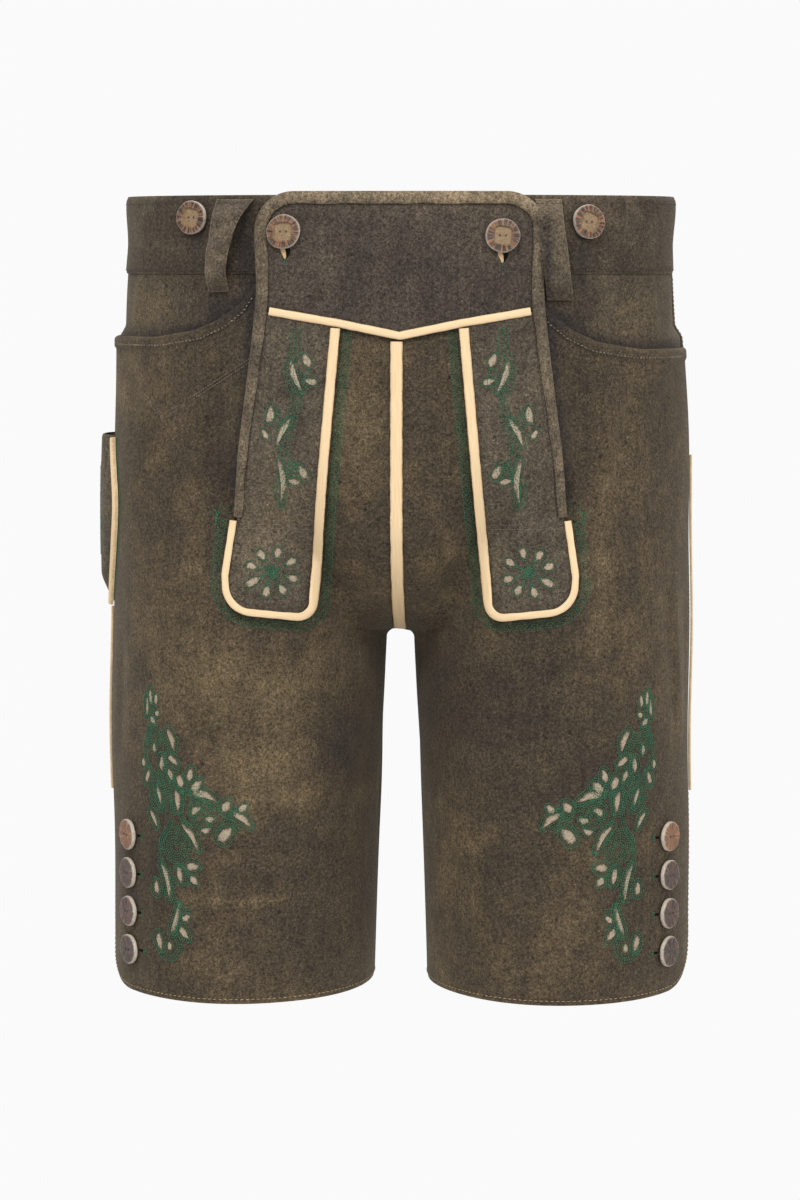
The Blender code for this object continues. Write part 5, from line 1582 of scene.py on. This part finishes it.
def antler(name, bark, dark, core=(0.30, 0.195, 0.095)):
    """Bark, and where `bone` is 1 pale rim bone, and where `core` is 1 the polished core."""
    made, tree, shader = new_material(name)
    radial = node(tree, "ShaderNodeAttribute", attribute_name="radial").outputs["Vector"]
    parts = node(tree, "ShaderNodeAttribute", attribute_name="part").outputs["Vector"]
    part = node(tree, "ShaderNodeSeparateXYZ", {"Vector": parts}).outputs
    place = tree.nodes.new("ShaderNodeTexCoord").outputs["Object"]
    stripes = noise(tree, radial, 2.6, 4.0, 0.62)
    pits = noise(tree, place, 900.0, 3.0, 0.6)
    mottle = spread(tree, pits, 0.3, 0.7, 0.0, 1.0)
    colour = blended(tree, spread(tree, stripes, 0.42, 0.53, 0.0, 1.0), (*bark, 1.0), (*dark, 1.0))
    rim = blended(tree, mottle, (0.58, 0.52, 0.44, 1.0), (0.40, 0.33, 0.25, 1.0))
    colour = blended(tree, part["X"], colour, rim)
    middle = blended(tree, mottle, (*core, 1.0), tuple(0.55 * c for c in core) + (1.0,))
    colour = blended(tree, part["Y"], colour, middle)
    speck = spread(tree, noise(tree, place, 1700.0, 1.0), 0.64, 0.70, 0.0, 0.7)
    colour = blended(tree, speck, colour, (0.03, 0.018, 0.012, 1.0))
    tree.links.new(colour, shader.inputs["Base Color"])
    tree.links.new(spread(tree, pits, 0.3, 0.7, 0.25, 0.50), shader.inputs["Roughness"])
    height = math_of(tree, "ADD", math_of(tree, "MULTIPLY", stripes, 1.6), pits)
    roughened(tree, shader, height, 0.7, 0.0004)
    return made


CARVED = antler("carved antler", (0.24, 0.105, 0.042), (0.022, 0.013, 0.012), core=(0.30, 0.195, 0.095))
HEM_BARKS = (
    antler("hem antler 1", (0.31, 0.135, 0.052), (0.13, 0.058, 0.025)),
    antler("hem antler 2", (0.125, 0.060, 0.034), (0.030, 0.017, 0.013)),
    antler("hem antler 3", (0.135, 0.062, 0.035), (0.036, 0.019, 0.014)),
    antler("hem antler 4", (0.100, 0.052, 0.032), (0.025, 0.016, 0.013)),
)
SEGMENTS, HOLE_APART, HOLE_RADIUS = 56, 0.0019, 0.00075
# the thread in each hole, from below the face to its crown: share of the hole's radius, height
PLUG_RINGS = ((1, -0.0006), (1, 0.00006), (0.55, 0.00002))
# share of the recess's size, whether the ring stands up or is sunk, and how much of it is core
RECESS_RINGS = ((1.22, 0, 0), (1.12, 1, 0.25), (1.04, 0.6, 0.3), (0.94, -1, 1), (0.62, -1, 1), (0.3, -1, 1))


def button_place(row):
    """The middle of a button's underside, and the direction it faces."""
    step = 0.004
    here, east, west, north, south = (
        Vector(on_face(np.array(row.across + dx), np.array(row.height + dz), row.lift))
        for dx, dz in ((0, 0), (step, 0), (-step, 0), (0, step), (0, -step)))
    outward = (east - west).cross(north - south).normalized()
    return here + outward * BUTTON_CLEAR, outward


def antler_button(row, number, finish):
    """A button's disc, and the point rings of the thread that fills its two holes."""
    angle = np.linspace(0, 2 * np.pi, SEGMENTS, endpoint=False)
    uneven = 1 + 0.018 * np.sin(2 * angle + number) + 0.010 * np.sin(5 * angle + 2.3 * number)
    rough = 0.00012 * np.sin(9 * angle + number) + 0.00009 * np.sin(23 * angle + 3 * number)
    turned = angle + 0.12 * number
    square = 1 / (np.abs(np.cos(turned)) ** 4 + np.abs(np.sin(turned)) ** 4) ** 0.25
    r, top = row.radius, BUTTON_THICKNESS
    rings = [
        (0.4 * r, 0, 1), (r - 0.0009, 0, 1), (r - 0.0002, 0.0004, 1), (r, 0.0010, 1), (r, 0.0021, 1),
        (r - 0.0002, 0.0027, 0.7), (r - 0.0006, top - 0.0001, 0.2), (r - 0.0012, top, 0), (0.80 * r, top, 0),
    ]
    points, parts, radial = [], [], []

    def ring(radius, height, bone, core):
        points.append(np.stack([radius * np.cos(angle), radius * np.sin(angle), height + 0 * angle], 1))
        parts.append(np.stack([bone + 0 * angle, core + 0 * angle, 0 * angle], 1))

    for radius, height, bone in rings:
        ring(radius * uneven, height + rough * (height > 0.002), bone, 0)
    hollow = 0.98 * row.recess * square if row.recess else 0.45 * r * np.ones(SEGMENTS)
    depth, raised = (0.0012, 0.0003) if row.recess else (0.0001, 0.0)
    for share, up, core in RECESS_RINGS:
        height = top + rough * (up >= 0) + (raised * up if up > 0 else depth * up)
        ring(hollow * share, height, 0, core if row.recess else 0)
    count = len(points)
    for reach in np.linspace(0.5, 0.15, count):
        radial.append(np.stack([3 * np.cos(angle), 3 * np.sin(angle), reach + number + 0 * angle], 1))
    points = np.concatenate(points)
    faces = tube_faces(np.arange(count * SEGMENTS).reshape(count, SEGMENTS))
    centre, outward = button_place(row)
    turn = outward.to_track_quat("Z", "Y").to_matrix()
    placed = points @ np.array(turn).T + np.array(centre)
    disc = put_mesh(row.name + "_antler", placed, faces, finish)
    marked(disc, "part", np.concatenate(parts))
    marked(disc, "radial", np.concatenate(radial))
    on_root(disc, "antler", row.name)
    face = top - (depth if row.recess else 0)
    holes, around = [], angle[::7]
    for middle in (-HOLE_APART, HOLE_APART):
        rims = []
        for share, above in PLUG_RINGS:
            across, along = (share * HOLE_RADIUS * turned(around) for turned in (np.cos, np.sin))
            rims.append(np.stack([middle + across, along, face + above + 0 * around], 1))
        holes.append(np.concatenate(rims) @ np.array(turn).T + np.array(centre))
    return holes


plugs, faces = [], []
for number, row in enumerate(BUTTONS):
    finish = CARVED if row.recess else HEM_BARKS[int(row.name[-1]) - 1]
    for hole in antler_button(row, number, finish):
        faces += tube_faces(sum(len(p) for p in plugs) + np.arange(len(hole)).reshape(3, -1))
        plugs.append(hole)
BUTTON_THREAD = thread_material("button thread", (0.050, 0.034, 0.022), (0.015, 0.011, 0.008))
thread = put_mesh("button_thread", np.concatenate(plugs), faces, BUTTON_THREAD)
on_root(thread, "brown_suede")


# ---- Buttonholes
# Slits in the flap below its buttons and in the fronts beside the hem buttons. Each is a near-black sheet of
# painted shade over the slit, with a green bar tack at its end; the flap's two also have a cream facing
# turned back along one lip.
def slit_shade_material():
    """Painted shade inside a cut through the leather."""
    made, tree, shader = new_material("buttonhole dark")
    place = tree.nodes.new("ShaderNodeTexCoord").outputs["Object"]
    shade = blended(tree, noise(tree, place, 600.0), (0.006, 0.005, 0.004, 1.0), (0.014, 0.011, 0.008, 1.0))
    tree.links.new(shade, shader.inputs["Base Color"])
    shader.inputs["Roughness"].default_value = 1.0
    shader.inputs["Specular IOR Level"].default_value = 0.0
    return made


SLIT_SHADE = slit_shade_material()
tacks, slit_shades, facings = [], [], []


def lens(name, outlines, finish, slot):
    """Low pointed mounds over outlines already on the surface, given as (outer, top) rings."""
    points, faces = [], []
    for outer, top in outlines:
        faces += tube_faces(sum(len(p) for p in points) + np.arange(2 * len(outer)).reshape(2, -1))
        points += [outer, top]
    on_root(put_mesh(name, np.concatenate(points), faces, finish), slot)


def two_levels(outline, place, lift, proud):
    """The outline sunk 0.3 mm into the leather, and a slightly smaller one that stands proud."""
    inset = outline.mean(0) + (outline - outline.mean(0)) * 0.92
    return place(*outline.T, lift - 0.0003), place(*inset.T, lift + proud)


def by_button(leaf, across, height):
    """A slit or facing whose middle is given from its button's, moved to where it belongs."""
    return leaf_outline(across / MM + leaf.across, height / MM + leaf.height, *leaf[2:])


FLAP_GAP, FLAP_FACING = Leaf(1.4, -12.0, 9.5, 4.8, -96, 0.0), Leaf(-0.8, -12.6, 8.5, 3.0, -72, 0.5)
HEM_GAP = Leaf(11.2, 0.0, 5.5, 1.8, 0, 0.0)
GAP_PROUD, FACING_PROUD = 0.00008, 0.00045
FLAP_TACK_ASIDE, FLAP_TACK_TOP, FLAP_TACK_FOOT = 0.0008, -0.0166, -0.0196
HEM_TACK_AHEAD, HEM_TACK_HALF, HEM_TACK_LEAN = 0.0142, 0.0016, 0.0004
for row in BUTTONS[:2]:
    across = row.across - FLAP_SHIFT
    gap = by_button(FLAP_GAP, across, row.height)
    slit_shades.append(two_levels(gap, on_flap(1), YOKE.outer, GAP_PROUD))
    facing = by_button(FLAP_FACING, across, row.height)
    facings.append(two_levels(facing, on_flap(1), YOKE.outer, FACING_PROUD))
    for shift in (-0.0005, 0.0005):
        at = across + FLAP_TACK_ASIDE + shift
        path = np.array([(at, row.height + FLAP_TACK_TOP), (at, row.height + FLAP_TACK_FOOT)])
        tacks.append(on_flap(1)(*resampled(path, 8).T, YOKE.outer + PROUD))
for row in BUTTONS[4:]:
    side = 1 if row.across > 0 else -1
    base_turn = turn_at(side, abs(row.across), row.height, LEG.outer)
    forward = float((1 - base_turn) * side_speed(side, row.height, LEG.outer))
    place = on_leg_side(side)
    gap = by_button(HEM_GAP, forward, row.height)
    slit_shades.append(two_levels(gap, place, LEG.outer, GAP_PROUD))
    for shift in (-0.0009, 0.0, 0.0009):
        at = forward + HEM_TACK_AHEAD + shift
        foot, top = row.height - HEM_TACK_HALF, row.height + HEM_TACK_HALF
        path = np.array([(at, foot), (at + HEM_TACK_LEAN, top)])
        tacks.append(place(*resampled(path, 6).T, LEG_FACE))
lens("buttonhole_gaps", slit_shades, SLIT_SHADE, "brown_suede")
lens("buttonhole_facings", facings, CREAM, "cream_leather")
stitched(
    "buttonhole_tacks", tacks, pitch=0.0011, length=0.0013, thickness=0.00055, thread=GREEN_THREAD)
